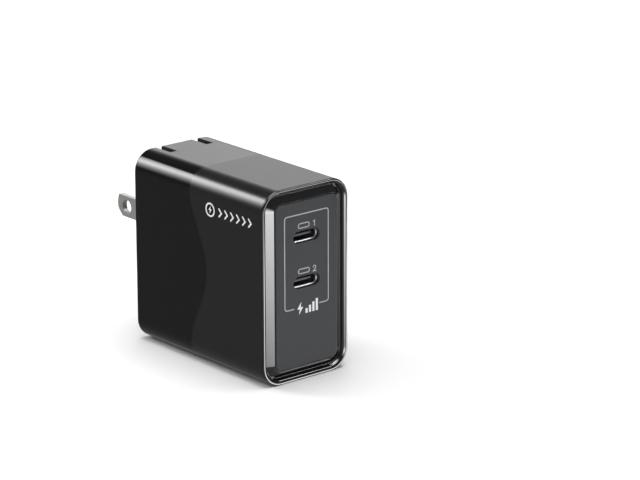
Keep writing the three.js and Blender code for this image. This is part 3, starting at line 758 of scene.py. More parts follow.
def between(first: Point2, last: Point2, steps: int) -> list[Point2]:
    """The points that divide a straight stretch.

    Args:
        first: Where it starts.
        last: Where it ends.
        steps: How many parts it is divided into.

    Returns:
        The points between its ends.
    """
    shares = [step / steps for step in range(1, steps)]
    return [tuple(a + (b - a) * share for a, b in zip(first, last)) for share in shares]


def filleted(corners: Sequence[tuple[float, float, float]], steps: int = 4) -> list[Point2]:
    """Rounds the corners of a closed profile.

    Args:
        corners: The corners, each with the radius of its fillet.
        steps: How many stretches each fillet has.

    Returns:
        The profile's points.
    """
    points: list[Point2] = []
    for at, (u, v, radius) in enumerate(corners):
        here = Vector((u, v))
        before = Vector(corners[at - 1][:2]) - here
        after = Vector(corners[(at + 1) % len(corners)][:2]) - here
        if radius == 0.0:
            points.append((u, v))
            continue
        half = before.angle(after) / 2
        reach = radius / math.tan(half)
        start = here + before.normalized() * reach
        end = here + after.normalized() * reach
        inwards = (before.normalized() + after.normalized()).normalized()
        middle = here + inwards * (radius / math.sin(half))
        for step in range(steps + 1):
            spoke = (start - middle).slerp(end - middle, step / steps) * radius
            points.append(tuple(middle + spoke))
    return points


def bridge(work: Work, here: Corners, there: Corners, paint: int = 0) -> None:
    """Adds the band of faces between two loops.

    Args:
        work: The work mesh.
        here: The first loop's corners.
        there: The second loop's corners, as many.
        paint: The band's material number.
    """
    count = len(here)
    for k in range(count):
        after = (k + 1) % count
        face = work.faces.new((here[k], here[after], there[after], there[k]))
        face.material_index = paint


def prism(work: Work, low: Sequence[Point3], high: Sequence[Point3]) -> None:
    """Adds a closed block between two outlines.

    Args:
        work: The work mesh.
        low: The block's lower outline.
        high: Its upper outline, with as many points.
    """
    bottom = [work.verts.new(point) for point in low]
    top = [work.verts.new(point) for point in high]
    work.faces.new(top)
    work.faces.new(bottom[::-1])
    bridge(work, bottom, top)


def ring_work(rings: Sequence[Sequence[Point3]], paints: Sequence[int] | None = None) -> Work:
    """Joins closed loops one after another, and the last to the first.

    Args:
        rings: The loops, each with as many points.
        paints: The material number of the band after each loop.

    Returns:
        The new work mesh.
    """
    work = bmesh.new()
    loops = [[work.verts.new(point) for point in ring] for ring in rings]
    for at, here in enumerate(loops):
        bridge(work, here, loops[(at + 1) % len(loops)], paints[at] if paints else 0)
    return work


def stack_work(rings: Sequence[Sequence[Point3]], paint: int = 0) -> Work:
    """Joins closed loops one after another and caps both ends.

    Args:
        rings: The loops, each with as many points.
        paint: The material number of every face.

    Returns:
        The new work mesh.
    """
    work = bmesh.new()
    loops = [[work.verts.new(point) for point in ring] for ring in rings]
    for here, there in zip(loops, loops[1:]):
        bridge(work, here, there)
    work.faces.new(loops[0])
    work.faces.new(loops[-1])
    for face in work.faces:
        face.material_index = paint
    return work


class Blank:
    """A mesh in millimetres that is cut and rounded before it becomes a piece."""

    def __init__(self, name: str, work: Work, finishes: Sequence[Finish] = ()) -> None:
        """Makes an object from a work mesh.

        Args:
            name: The object's name.
            work: The work mesh, which is used up.
            finishes: The finishes that the faces' material numbers stand for.
        """
        bmesh.ops.recalc_face_normals(work, faces=work.faces)
        mesh = bpy.data.meshes.new(name)
        work.to_mesh(mesh)
        work.free()
        for finish in finishes:
            mesh.materials.append(dressing(finish))
        self.body = bpy.data.objects.new(name, mesh)
        bpy.context.scene.collection.objects.link(self.body)

    def modify(self, kind: str, **settings: object) -> None:
        """Runs one modifier and keeps its result.

        Args:
            kind: The modifier's type.
            **settings: Its settings.
        """
        modifier = self.body.modifiers.new(kind.lower(), kind)
        for key, value in settings.items():
            setattr(modifier, key, value)
        depsgraph = bpy.context.evaluated_depsgraph_get()
        shown = self.body.evaluated_get(depsgraph)
        shaped = bpy.data.meshes.new_from_object(
            shown, preserve_all_data_layers=True, depsgraph=depsgraph
        )
        before = self.body.data
        self.body.modifiers.clear()
        self.body.data = shaped
        bpy.data.meshes.remove(before)

    def cut(self, *tools: "Blank") -> None:
        """Takes other blanks away from this one, and removes them.

        Args:
            *tools: The blanks that are taken away.
        """
        for tool in tools:
            self.modify("BOOLEAN", operation="DIFFERENCE", solver="EXACT", object=tool.body)
            used = tool.body.data
            bpy.data.objects.remove(tool.body)
            bpy.data.meshes.remove(used)

    def soften(self, width: float, steps: int = 2) -> None:
        """Rounds the sharp edges.

        Args:
            width: The round's width.
            steps: How many stretches it has.
        """
        self.modify(
            "BEVEL",
            width=width,
            segments=steps,
            limit_method="ANGLE",
            angle_limit=math.radians(SHARP),
            use_clamp_overlap=True,
            miter_outer="MITER_ARC",
        )

    def piece(
        self,
        body: str,
        slot: str,
        replaced: Sequence[str] = (),
        crease: float = SHARP,
    ) -> bpy.types.Object:
        """Turns the blank into a piece of the charger, in metres.

        Args:
            body: The body that it moves with.
            slot: The name of a material slot; not used.
            replaced: The nodes that it stands for.
            crease: The least angle, in degrees, of an edge that stays sharp.

        Returns:
            The finished object.
        """
        self.body.data.shade_smooth()
        self.body.data.set_sharp_from_angle(angle=math.radians(crease))
        self.modify("WEIGHTED_NORMAL", keep_sharp=True, weight=80)
        self.body.data.transform(Matrix.Scale(MM, 4))
        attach(self.body, body)
        if replaced:
            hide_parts(*replaced)
        return self.body


_dressings: dict[str, bpy.types.Material] = {}


def dressing(finish: Finish) -> bpy.types.Material:
    """The finish's material, made once.

    Args:
        finish: The finish.

    Returns:
        Its material.
    """
    if finish.name not in _dressings:
        _dressings[finish.name] = finish.material()
    return _dressings[finish.name]


def dress_node(node: str, finish: Finish) -> None:
    """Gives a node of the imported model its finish.

    Args:
        node: The node's name.
        finish: Its finish.
    """
    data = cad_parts[node].data
    data.materials.clear()
    data.materials.append(dressing(finish))
    log.info("node %s has %s", node, finish.name)


def across(points: Sequence[Point2], y: float | Callable[[float], float]) -> list[Point3]:
    """Lays outline points across the case.

    Args:
        points: The points along X and Z.
        y: Where they lie along Y, or a function of the height that says so.

    Returns:
        The points in space.
    """
    if callable(y):
        return [(u, y(v), v) for u, v in points]
    return [(u, y, v) for u, v in points]


def box_work(low: Point3, high: Point3, paint: int = 0) -> Work:
    """A rectangular block.

    Args:
        low: Its lowest corner.
        high: Its highest corner.
        paint: The material number of its faces.

    Returns:
        The new work mesh.
    """
    floor = [(low[0], low[1]), (high[0], low[1]), (high[0], high[1]), (low[0], high[1])]
    return stack_work([[(x, y, z) for x, y in floor] for z in (low[2], high[2])], paint)


# ---------------------------------------------------------------- case


@dataclass(frozen=True)
class CaseForm:
    """The sizes that the case, the bezel, the panel and the rear cover share."""

    width: float = 29.6
    height: float = 54.4
    corner: float = 5.9
    front: float = -28.0
    rear: float = 28.0
    slot_pitch: float = 12.7
    slot_width: float = 2.3
    slot_floor: float = 20.9
    slot_bottom: float = 30.35
    crease: float = 32.0

    def outline(self, **steps: int) -> Outline:
        """The case's outline, with the given numbers of steps."""
        return Outline(self.width, self.height, self.corner, self.height / 2, **steps)

    def slot_tools(self, paint: int) -> list[Blank]:
        """The two blocks that cut the blade slots.

        Args:
            paint: The material number of the slots' walls.

        Returns:
            The cutting blanks.
        """
        tools = []
        for side in (-1, 1):
            middle = side * self.slot_pitch / 2
            low = (middle - self.slot_width / 2, self.slot_floor, self.slot_bottom)
            top = (self.rear + CUT_MARGIN, self.height + CUT_MARGIN)
            high = (middle + self.slot_width / 2, *top)
            tools.append(Blank("slot_tool", box_work(low, high, paint)))
        return tools


@dataclass(frozen=True)
class CaseSleeve:
    """The sleeve: polished at the rear, fine matte in front, parted by a wave on its sides."""

    form: CaseForm = CaseForm()
    wall: float = 1.8
    edge_front: float = -27.4
    edge_round: float = 0.15
    rear_round: float = 0.6
    seat_inset: float = 1.15
    seat: float = 26.3
    skin: float = 0.6
    skin_back: float = -25.6
    matte_from: float = 1.0
    edge_run: float = 2.0
    tail_run: float = 3.0
    slot_round: float = 0.1
    texture_step: float = 0.025
    texture_ramp: float = 0.07
    wave_rear: float = 3.4
    wave_reach: float = 7.2
    wave_middle: float = 27.3
    wave_half: float = 22.8

    def wave(self, height: float) -> float:
        """Where along Y the polished part ends at a height."""
        share = min(abs(height - self.wave_middle) / self.wave_half, 1.0)
        return self.wave_rear - self.wave_reach * 0.5 * (1.0 + math.cos(math.pi * share))

    def build(self) -> list[bpy.types.Object]:
        """Builds the sleeve with its slots.

        Returns:
            The finished piece.
        """
        outline = self.form.outline(arc_steps=20, tall_steps=48, wide_steps=12)
        step = self.texture_step
        rear = self.form.rear
        edge = filleted(
            [
                (self.skin, self.edge_front, self.edge_round),
                (step, self.edge_front, self.edge_round),
                (step, self.edge_front + self.edge_run, 0.0),
            ],
            3,
        )[:-1]
        tail = filleted(
            [
                (0.0, rear - self.tail_run, 0.0),
                (0.0, rear, self.rear_round),
                (self.seat_inset, rear, self.edge_round),
                (self.seat_inset, self.seat, 0.0),
                (self.wall, self.seat, 0.0),
                (self.wall, self.skin_back, 0.0),
                (self.skin, self.skin_back, 0.0),
            ],
            5,
        )
        stations = [(inset, y, 1) for inset, y in edge]
        stations.append((step, self.edge_front + self.matte_from, 1))
        stations.append((step, lambda v: self.wave(v) - self.texture_ramp, 0))
        stations.append((0.0, self.wave, 0))
        stations += [(inset, y, 0) for inset, y in tail]
        rings = [across(outline.loop(inset), y) for inset, y, _ in stations]
        paints = [paint for _, _, paint in stations]
        work = ring_work(rings, paints)
        blank = Blank("case_sleeve", work, (CASE_GLOSS, CASE_MATTE, NYLON))
        blank.cut(*self.form.slot_tools(2))
        blank.soften(self.slot_round)
        return [blank.piece(HOUSING, "case_plastic", ("housing_shell",), self.form.crease)]


@dataclass(frozen=True)
class Bezel:
    """The gloss ring in front: outer rim, groove, and a slope that rises to the panel."""

    form: CaseForm = CaseForm()
    lip: float = 0.4
    rim: float = 0.6
    bead: float = 0.55
    bead_depth: float = 0.35
    groove_wall: float = 1.2
    groove_depth: float = 1.3
    slope: float = 2.2
    ledge: float = 1.0
    spigot_inset: float = 1.95
    spigot_wall: float = 1.2
    spigot_depth: float = 4.5
    web: float = 1.0
    collar_inset: float = 0.75
    outer_round: float = 0.3
    inner_round: float = 0.5
    fine_round: float = 0.08

    def build(self) -> list[bpy.types.Object]:
        """Builds the ring.

        Returns:
            The finished piece.
        """
        front = self.form.front
        floor = front + self.groove_depth
        groove = self.rim + self.groove_wall
        top = groove + self.slope
        ledge = top + self.ledge
        back = floor + self.web
        inner = self.spigot_inset + self.spigot_wall
        tail = front + self.spigot_depth
        fine = self.fine_round
        profile = filleted(
            [
                (0.0, front + self.lip, 0.0),
                (0.0, front, self.outer_round),
                (self.rim, front, self.inner_round),
                (self.rim + self.bead, front + self.bead_depth, self.inner_round),
                (groove, floor, fine),
                (top, front, fine),
                (top, floor, 0.0),
                (ledge, floor, 0.0),
                (ledge, back, 0.0),
                (inner, back, 0.0),
                (inner, tail, 0.0),
                (self.spigot_inset, tail, 0.0),
                (self.spigot_inset, back, 0.0),
                (self.collar_inset, back, 0.0),
                (self.collar_inset, front + self.lip, 0.0),
            ],
            4,
        )
        outline = self.form.outline(arc_steps=20, tall_steps=6, wide_steps=4)
        work = ring_work([across(outline.loop(inset), y) for inset, y in profile])
        blank = Blank("bezel_ring", work, (BEZEL_GLOSS,))
        return [blank.piece(HOUSING, "bezel_gloss", ("front_bezel",), self.form.crease)]


@dataclass(frozen=True)
class PortHole:
    """The stadium-shaped opening of one port, and how high it sits."""

    width: float = 8.94
    height: float = 3.16
    end_flat: float = 0.001
    levels: tuple[float, float] = (40.3, 27.6)

    def loop(self, grow: float, level: float, steps: int = 16) -> list[Point2]:
        """The opening's outline.

        Args:
            grow: How much it is widened all round.
            level: How high its middle is.
            steps: How many stretches each quarter turn has.

        Returns:
            The points along X and Z.
        """
        height = self.height + 2 * grow
        width = self.width + 2 * grow
        corner = height / 2 - self.end_flat
        return Outline(width, height, corner, level, arc_steps=steps).loop()


@dataclass(frozen=True)
class PortPanel:
    """The matte plate round the two ports."""

    form: CaseForm = CaseForm()
    port: PortHole = PortHole()
    face: float = -28.3
    back: float = -26.8
    inset: float = 4.15
    edge_round: float = 0.22
    hole_grow: float = 0.1
    hole_chamfer: float = 0.06

    def build(self) -> list[bpy.types.Object]:
        """Builds the plate and cuts the port openings.

        Returns:
            The finished piece.
        """
        outline = self.form.outline(arc_steps=14)
        plate = [across(outline.loop(self.inset), y) for y in (self.back, self.face)]
        blank = Blank("port_plate", stack_work(plate), (PANEL_MATTE,))
        blank.soften(self.edge_round, 3)
        for level in self.port.levels:
            wide = self.hole_grow + self.hole_chamfer
            stations = [
                (wide + CUT_MARGIN, self.face - CUT_MARGIN),
                (wide, self.face),
                (self.hole_grow, self.face + self.hole_chamfer),
                (self.hole_grow, self.back + CUT_MARGIN),
            ]
            rings = [across(self.port.loop(grow, level), y) for grow, y in stations]
            blank.cut(Blank("hole_tool", stack_work(rings)))
        return [blank.piece(HOUSING, "panel_matte", ("port_panel",), self.form.crease)]


@dataclass(frozen=True)
class RearPlate:
    """The matte cover in the rear rebate, with the blade slots through it."""

    form: CaseForm = CaseForm()
    inset: float = 1.4
    back: float = 26.4
    edge_round: float = 0.2
    axle_half: float = 9.8
    axle_low: float = 31.4
    axle_high: float = 34.6
    axle_depth: float = 26.95

    def build(self) -> list[bpy.types.Object]:
        """Builds the plate.

        Returns:
            The finished piece.
        """
        outline = self.form.outline(arc_steps=18)
        rings = [across(outline.loop(self.inset), y) for y in (self.back, self.form.rear)]
        blank = Blank("rear_plate", stack_work(rings), (COVER_MATTE, NYLON))
        low = (-self.axle_half, self.back - CUT_MARGIN, self.axle_low)
        high = (self.axle_half, self.axle_depth, self.axle_high)
        blank.cut(*self.form.slot_tools(1), Blank("axle_tool", box_work(low, high, 1)))
        blank.soften(self.edge_round, 3)
        return [blank.piece(HOUSING, "cover_matte", ("rear_cover",), self.form.crease)]


# ---------------------------------------------------------------- printed marks


class Side(Enum):
    """A flat side of the charger that marks are printed on, as seen from outside."""

    FRONT = ((1.0, 0.0, 0.0), (0.0, -1.0, 0.0))
    LEFT = ((0.0, -1.0, 0.0), (-1.0, 0.0, 0.0))
    REAR = ((-1.0, 0.0, 0.0), (0.0, 1.0, 0.0))

    def point(self, u: float, v: float, depth: float) -> Point3:
        """A point on or over the side.

        Args:
            u: How far it is to the viewer's right.
            v: How high it is.
            depth: How far out the point is along the side's normal.

        Returns:
            The point in space.
        """
        right, out = self.value
        return (
            right[0] * u + out[0] * depth,
            right[1] * u + out[1] * depth,
            v,
        )


# A lightning bolt one unit tall, round its middle
BOLT = ((0.12, 0.5), (-0.3, -0.06), (-0.03, -0.06), (-0.12, -0.5), (0.3, 0.08), (0.03, 0.08))


@dataclass
class Mark:
    """A print: flat shapes in one ink film.

    Shapes that cross stand at different heights, so that their faces don't lie in one plane.
    """

    side: Side
    level: float
    film: float = 0.02
    sunk: float = 0.01
    stagger: float = 0.0006
    stagger_levels: int = 3
    least_lean: float = 0.3
    faces: list[list[Point2]] = field(default_factory=list)

    def patch(self, points: Sequence[Point2]) -> None:
        """Adds one filled shape."""
        self.faces.append(list(points))

    def stroke(self, path: Sequence[Point2], pen: float, closed: bool = False) -> None:
        """Adds the band that a pen leaves along a path.

        Args:
            path: The pen's path.
            pen: Its width.
            closed: Whether the path returns to its start.
        """
        points = [Vector(point) for point in path]
        count = len(points)
        left: list[Vector] = []
        right: list[Vector] = []
        for at, here in enumerate(points):
            before = points[at - 1] if closed or at > 0 else None
            after = points[(at + 1) % count] if closed or at < count - 1 else None
            legs = [here - before] if before is not None else []
            legs += [after - here] if after is not None else []
            normals = [Vector((-leg.y, leg.x)).normalized() for leg in legs]
            lean = sum(normals, Vector((0.0, 0.0))).normalized()
            reach = pen / 2 / max(lean.dot(normals[0]), self.least_lean)
            left.append(here + lean * reach)
            right.append(here - lean * reach)
        last = count if closed else count - 1
        for at in range(last):
            after = (at + 1) % count
            self.patch([tuple(p) for p in (left[at], right[at], right[after], left[after])])
        if not closed:
            self.dot(path[0], pen / 2)
            self.dot(path[-1], pen / 2)

    def dot(self, centre: Point2, radius: float, steps: int = 12) -> None:
        """Adds a filled round."""
        self.patch(arc(centre, radius, 0.0, 2 * math.pi, steps)[:-1])

    def frame(self, centre: Point2, size: Point2, corner: float, pen: float) -> None:
        """Adds a rounded box drawn with a pen."""
        outline = Outline(size[0], size[1], corner, arc_steps=6)
        path = [(centre[0] + u, centre[1] + v) for u, v in outline.loop()]
        self.stroke(path, pen, True)

    def bolt(self, centre: Point2, height: float) -> None:
        """Adds a filled lightning bolt."""
        self.patch([(centre[0] + u * height, centre[1] + v * height) for u, v in BOLT])

    def print(self, name: str, ink: Finish, slot: str) -> bpy.types.Object:
        """Lays the film on the case.

        Args:
            name: The piece's name.
            ink: The ink.
            slot: The name of a material slot, handed on to Blank.piece.

        Returns:
            The finished piece.
        """
        work = bmesh.new()
        for at, shape in enumerate(self.faces):
            under = self.level - self.sunk
            over = self.level + self.film + (at % self.stagger_levels) * self.stagger
            ends = [[self.side.point(u, v, depth) for u, v in shape] for depth in (under, over)]
            prism(work, *ends)
        blank = Blank(name, work, (ink,))
        return blank.piece(HOUSING, slot)


@dataclass(frozen=True)
class PanelPrint:
    """What is printed round the ports: a frame, a mark over each port and a rating mark."""

    level: float = 28.3
    frame_half: float = 7.6
    frame_top: float = 46.7
    frame_bottom: float = 20.6
    frame_corner: float = 0.8
    frame_pen: float = 0.3
    stub: float = 4.5
    label_levels: tuple[float, float] = (43.45, 30.75)
    label_pen: float = 0.28
    label_middle: float = -0.95
    label_size: Point2 = (3.8, 1.25)
    label_corner: float = 0.62
    digit_left: float = 2.3
    digit_middle: float = 2.8
    digit_right: float = 3.25
    digit_half: float = 0.75
    digit_bowl: float = 0.45
    digit_flag: Point2 = (0.45, 0.33)
    rating_level: float = 20.4
    bolt_middle: float = -2.3
    bolt_height: float = 3.5
    bar_count: int = 4
    bar_from: float = -0.45
    bar_pitch: float = 1.2
    bar_width: float = 0.75
    bar_drop: float = 1.7
    bar_first: float = 1.3
    bar_rise: float = 0.7

    def build(self) -> list[bpy.types.Object]:
        """Prints all the marks.

        Returns:
            The finished pieces.
        """
        lines = Mark(Side.FRONT, self.level)
        lines.stroke(self._frame_path(), self.frame_pen)
        for number, level in enumerate(self.label_levels, 1):
            self._label(lines, number, level)
        rating = Mark(Side.FRONT, self.level)
        self._rating(rating)
        return [
            lines.print("panel_lines", INK_PALE, "panel_matte"),
            rating.print("panel_rating", INK_WHITE, "panel_matte"),
        ]

    def _frame_path(self) -> list[Point2]:
        """The frame line, open where the rating mark stands."""
        corner = self.frame_corner
        left, right = -self.frame_half, self.frame_half
        low, high = self.frame_bottom, self.frame_top
        quarter = math.pi / 2
        path = [(-self.stub, low)]
        path += arc((left + corner, low + corner), corner, 3 * quarter, 2 * quarter, 5)
        path += arc((left + corner, high - corner), corner, 2 * quarter, quarter, 5)
        path += arc((right - corner, high - corner), corner, quarter, 0.0, 5)
        path += arc((right - corner, low + corner), corner, 0.0, -quarter, 5)
        return path + [(self.stub, low)]

    def _label(self, mark: Mark, number: int, level: float) -> None:
        """Draws the outline of a plug and the port's number.

        Args:
            mark: The print that it is added to.
            number: The port's number.
            level: How high the label is.
        """
        pen = self.label_pen
        mark.frame((self.label_middle, level), self.label_size, self.label_corner, pen)
        top, foot = level + self.digit_half, level - self.digit_half
        if number == 1:
            head = (self.digit_middle, top)
            flag_across, flag_down = self.digit_flag
            mark.stroke([(self.digit_middle - flag_across, top - flag_down), head], pen)
            mark.stroke([head, (self.digit_middle, foot)], pen)
        else:
            centre = (self.digit_left + self.digit_bowl, top - self.digit_bowl)
            bowl = arc(centre, self.digit_bowl, math.pi, -math.pi / 5, 9)
            mark.stroke(bowl + [(self.digit_left, foot), (self.digit_right, foot)], pen)

    def _rating(self, mark: Mark) -> None:
        """Draws a bolt beside a row of rising level bars."""
        mark.bolt((self.bolt_middle, self.rating_level), self.bolt_height)
        low = self.rating_level - self.bar_drop
        for step in range(self.bar_count):
            high = low + self.bar_first + self.bar_rise * step
            left = self.bar_from + self.bar_pitch * step
            right = left + self.bar_width
            mark.patch([(left, low), (right, low), (right, high), (left, high)])


@dataclass(frozen=True)
class SidePrint:
    """A plain ornament on the left side: a bolt in a ring and a row of arrowheads."""

    level: float = 14.775
    ring_centre: Point2 = (5.7, 45.3)
    ring_radius: float = 1.75
    ring_steps: int = 28
    bolt_share: float = 1.25
    arrows_from: float = 9.5
    arrows_to: float = 24.6
    arrow_level: float = 45.3
    arrow_height: float = 2.6
    arrow_count: int = 6
    pen: float = 0.45

    def build(self) -> list[bpy.types.Object]:
        """Prints the ornament.

        Returns:
            The finished piece.
        """
        mark = Mark(Side.LEFT, self.level)
        ring = arc(self.ring_centre, self.ring_radius, 0.0, 2 * math.pi, self.ring_steps)[:-1]
        mark.stroke(ring, self.pen, True)
        mark.bolt(self.ring_centre, self.ring_radius * self.bolt_share)
        pitch = (self.arrows_to - self.arrows_from) / self.arrow_count
        half = (self.arrow_height - self.pen) / 2
        for at in range(self.arrow_count):
            start = self.arrows_from + pitch * at
            tip = (start + half, self.arrow_level)
            mark.stroke([(start, tip[1] + half), tip, (start, tip[1] - half)], self.pen)
        return [mark.print("side_ornament", INK_WHITE, "case_plastic")]


@dataclass(frozen=True)
class RearPrint:
    """Faint rows of dashes on the rear cover, with no lettering in them."""

    level: float = 28.0
    half_width: float = 11.4
    low: float = 5.5
    high: float = 26.0
    row_step: float = 1.2
    ragged: float = 0.6
    dash: Point2 = (0.5, 3.2)
    gap: Point2 = (0.6, 0.9)
    least_room: float = 1.0
    pen: float = 0.34
    seed: int = 7

    def build(self) -> list[bpy.types.Object]:
        """Prints the rows.

        Returns:
            The finished piece.
        """
        draw = random.Random(self.seed)
        mark = Mark(Side.REAR, self.level)
        rows = int(2 * self.half_width / self.row_step) + 1
        for row in range(rows):
            u = -self.half_width + row * self.row_step
            v = self.low + draw.uniform(0.0, self.ragged)
            while v < self.high - self.least_room:
                end = min(v + draw.uniform(*self.dash), self.high)
                mark.stroke([(u, v), (u, end)], self.pen)
                v = end + draw.uniform(*self.gap)
        return [mark.print("rear_rows", INK_DIM, "cover_matte")]


# ---------------------------------------------------------------- receptacles and plug


@dataclass(frozen=True)
class Receptacles:
    """The two USB-C receptacles: drawn shells with rolled lips, tongues and gold contacts."""

    port: PortHole = PortHole()
    front: float = -27.2
    rear: float = -17.9
    wall: float = 0.3
    lip: float = 0.05
    lead_in: float = 0.25
    lead_depth: float = 0.21
    tongue_front: float = -26.2
    tongue_back: float = -21.6
    tongue_width: float = 6.69
    tongue_thickness: float = 0.7
    tongue_corner: float = 0.3
    nose: float = 0.16
    nose_full: float = 0.256
    contact_setback: float = 0.45
    contact_pitch: float = 0.5
    contact_width: float = 0.27
    contact_count: int = 12
    contact_length: float = 3.6
    contact_proud: float = 0.02
    contact_sunk: float = 0.05
    crease: float = 50.0
    names: tuple[str, str] = ("usb_upper", "usb_lower")

    def build(self) -> list[bpy.types.Object]:
        """Builds the shells, tongues and contacts of both ports.

        Returns:
            The finished pieces.
        """
        pieces = []
        for name, level in zip(self.names, self.port.levels):
            pieces.append(self._shell(name, level))
            pieces.append(self._tongue(name, level))
            pieces.append(self._contacts(name, level))
            dress_node(f"{name}_base", NYLON)
        return pieces

    def _shell(self, name: str, level: float) -> bpy.types.Object:
        """Builds one shell.

        Args:
            name: The receptacle's name.
            level: How high its middle is.

        Returns:
            The finished piece.
        """
        profile = filleted(
            [
                (0.0, self.rear, 0.0),
                (0.0, self.front, self.lip / 2),
                (self.lead_in - self.wall, self.front, 0.0),
                (-self.wall, self.front + self.lead_depth, self.lip),
                (-self.wall, self.rear, 0.0),
            ],
            3,
        )
        rings = [across(self.port.loop(grow, level), y) for grow, y in profile]
        blank = Blank(f"{name}_can", ring_work(rings), (PORT_STEEL,))
        return blank.piece(HOUSING, "port_steel", (f"{name}_shell",), self.crease)

    def _tongue(self, name: str, level: float) -> bpy.types.Object:
        """Builds one tongue with a tapered nose.

        Args:
            name: The receptacle's name.
            level: How high its middle is.

        Returns:
            The finished piece.
        """
        size = (self.tongue_width, self.tongue_thickness)
        outline = Outline(*size, self.tongue_corner, level, arc_steps=6)
        stations = [
            (self.nose, self.tongue_front),
            (self.nose * 0.3, self.tongue_front + self.nose * 0.4),
            (0.0, self.tongue_front + self.nose_full),
            (0.0, self.tongue_back),
        ]
        rings = [across(outline.loop(inset), y) for inset, y in stations]
        blank = Blank(f"{name}_blade", stack_work(rings), (TONGUE_GREY,))
        return blank.piece(HOUSING, "inner_plastic", (f"{name}_tongue",))

    def _contacts(self, name: str, level: float) -> bpy.types.Object:
        """Builds the rows of contacts on both faces of one tongue.

        Args:
            name: The receptacle's name.
            level: How high the tongue's middle is.

        Returns:
            The finished piece.
        """
        work = bmesh.new()
        corner = 0.9 * self.contact_width / 2
        outline = Outline(self.contact_width, self.contact_length, corner, arc_steps=4)
        shape = outline.loop()
        y = self.tongue_front + self.contact_setback + self.contact_length / 2
        half = self.tongue_thickness / 2
        for face in (-1, 1):
            heights = [level + face * z for z in (half - self.contact_sunk, half + self.contact_proud)]
            for at in range(self.contact_count):
                x = (at - (self.contact_count - 1) / 2) * self.contact_pitch
                prism(work, *([(x + u, y + v, z) for u, v in shape] for z in heights))
        blank = Blank(f"{name}_contacts", work, (CONTACT_GOLD,))
        return blank.piece(HOUSING, "contact_bronze")


@dataclass(frozen=True)
class PlugBlades:
    """The two flat blades, drawn where they stand out of the rear."""

    pitch: float = 12.7
    thickness: float = 1.5
    width: float = 6.1
    pivot: Point2 = (25.35, 33.0)
    offset: float = 0.9
    length: float = 20.85
    hole: float = 4.0
    hole_to_tip: float = 4.2
    crown: float = 0.6
    tip_bevel: float = 1.5
    root_bevel: float = 1.05
    bore: float = 1.4
    edge_round: float = 0.16
    crown_steps: int = 12
    crease: float = 35.0
    names: tuple[str, str] = ("prong_left", "prong_right")

    def build(self) -> list[bpy.types.Object]:
        """Builds both blades.

        Returns:
            The finished pieces.
        """
        pieces = []
        for side, node in zip((-1, 1), self.names):
            x = side * self.pitch / 2
            blank = Blank(f"{node}_blade", self._plate(self._outline(), x), (BLADE_NICKEL,))
            hole_centre = (self.length - self.hole_to_tip, self.offset)
            for centre, radius in ((hole_centre, self.hole / 2), ((0.0, 0.0), self.bore)):
                loop = arc(centre, radius, 0.0, 2 * math.pi, 48)[:-1]
                blank.cut(Blank("round_tool", self._plate(loop, x, CUT_MARGIN)))
            blank.soften(self.edge_round, 3)
            pieces.append(blank.piece(PLUG, "blade_metal", (node,), self.crease))
        return pieces

    def _outline(self) -> list[Point2]:
        """The blade's outline, from its root's lower side to its tip and back.

        Returns:
            The points along Y and Z, from the pivot.
        """
        top = self.offset + self.width / 2
        bottom = self.offset - self.width / 2
        root = -bottom
        edge = self.length - self.crown
        points = [(0.0, bottom), (edge - self.tip_bevel, bottom)]
        start = (edge, bottom + self.tip_bevel)
        pull = (self.length + self.crown, self.offset)
        end = (edge, top)
        for step in range(self.crown_steps + 1):
            t = step / self.crown_steps
            weights = ((1 - t) ** 2, 2 * t * (1 - t), t**2)
            spot = [sum(w * p[k] for w, p in zip(weights, (start, pull, end))) for k in (0, 1)]
            points.append(tuple(spot))
        points += [(-root + self.root_bevel, top), (-root, top - self.root_bevel)]
        return points + arc((0.0, 0.0), root, math.pi, 1.5 * math.pi, 16)[:-1]

    def _plate(self, loop: Sequence[Point2], x: float, extra: float = 0.0) -> Work:
        """A flat plate of an outline.

        Args:
            loop: The outline along Y and Z, from the pivot.
            x: The plate's middle along X.
            extra: How much thicker it is on each side.

        Returns:
            The new work mesh.
        """
        y, z = self.pivot
        half = self.thickness / 2 + extra
        return stack_work([[(x + side * half, y + u, z + v) for u, v in loop] for side in (-1, 1)])


# ---------------------------------------------------------------- what the case holds


def middle_of(node: str) -> Point3:
    """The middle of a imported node's box, in millimetres."""
    low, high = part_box(node)
    return tuple((low + high) / 2 / MM)


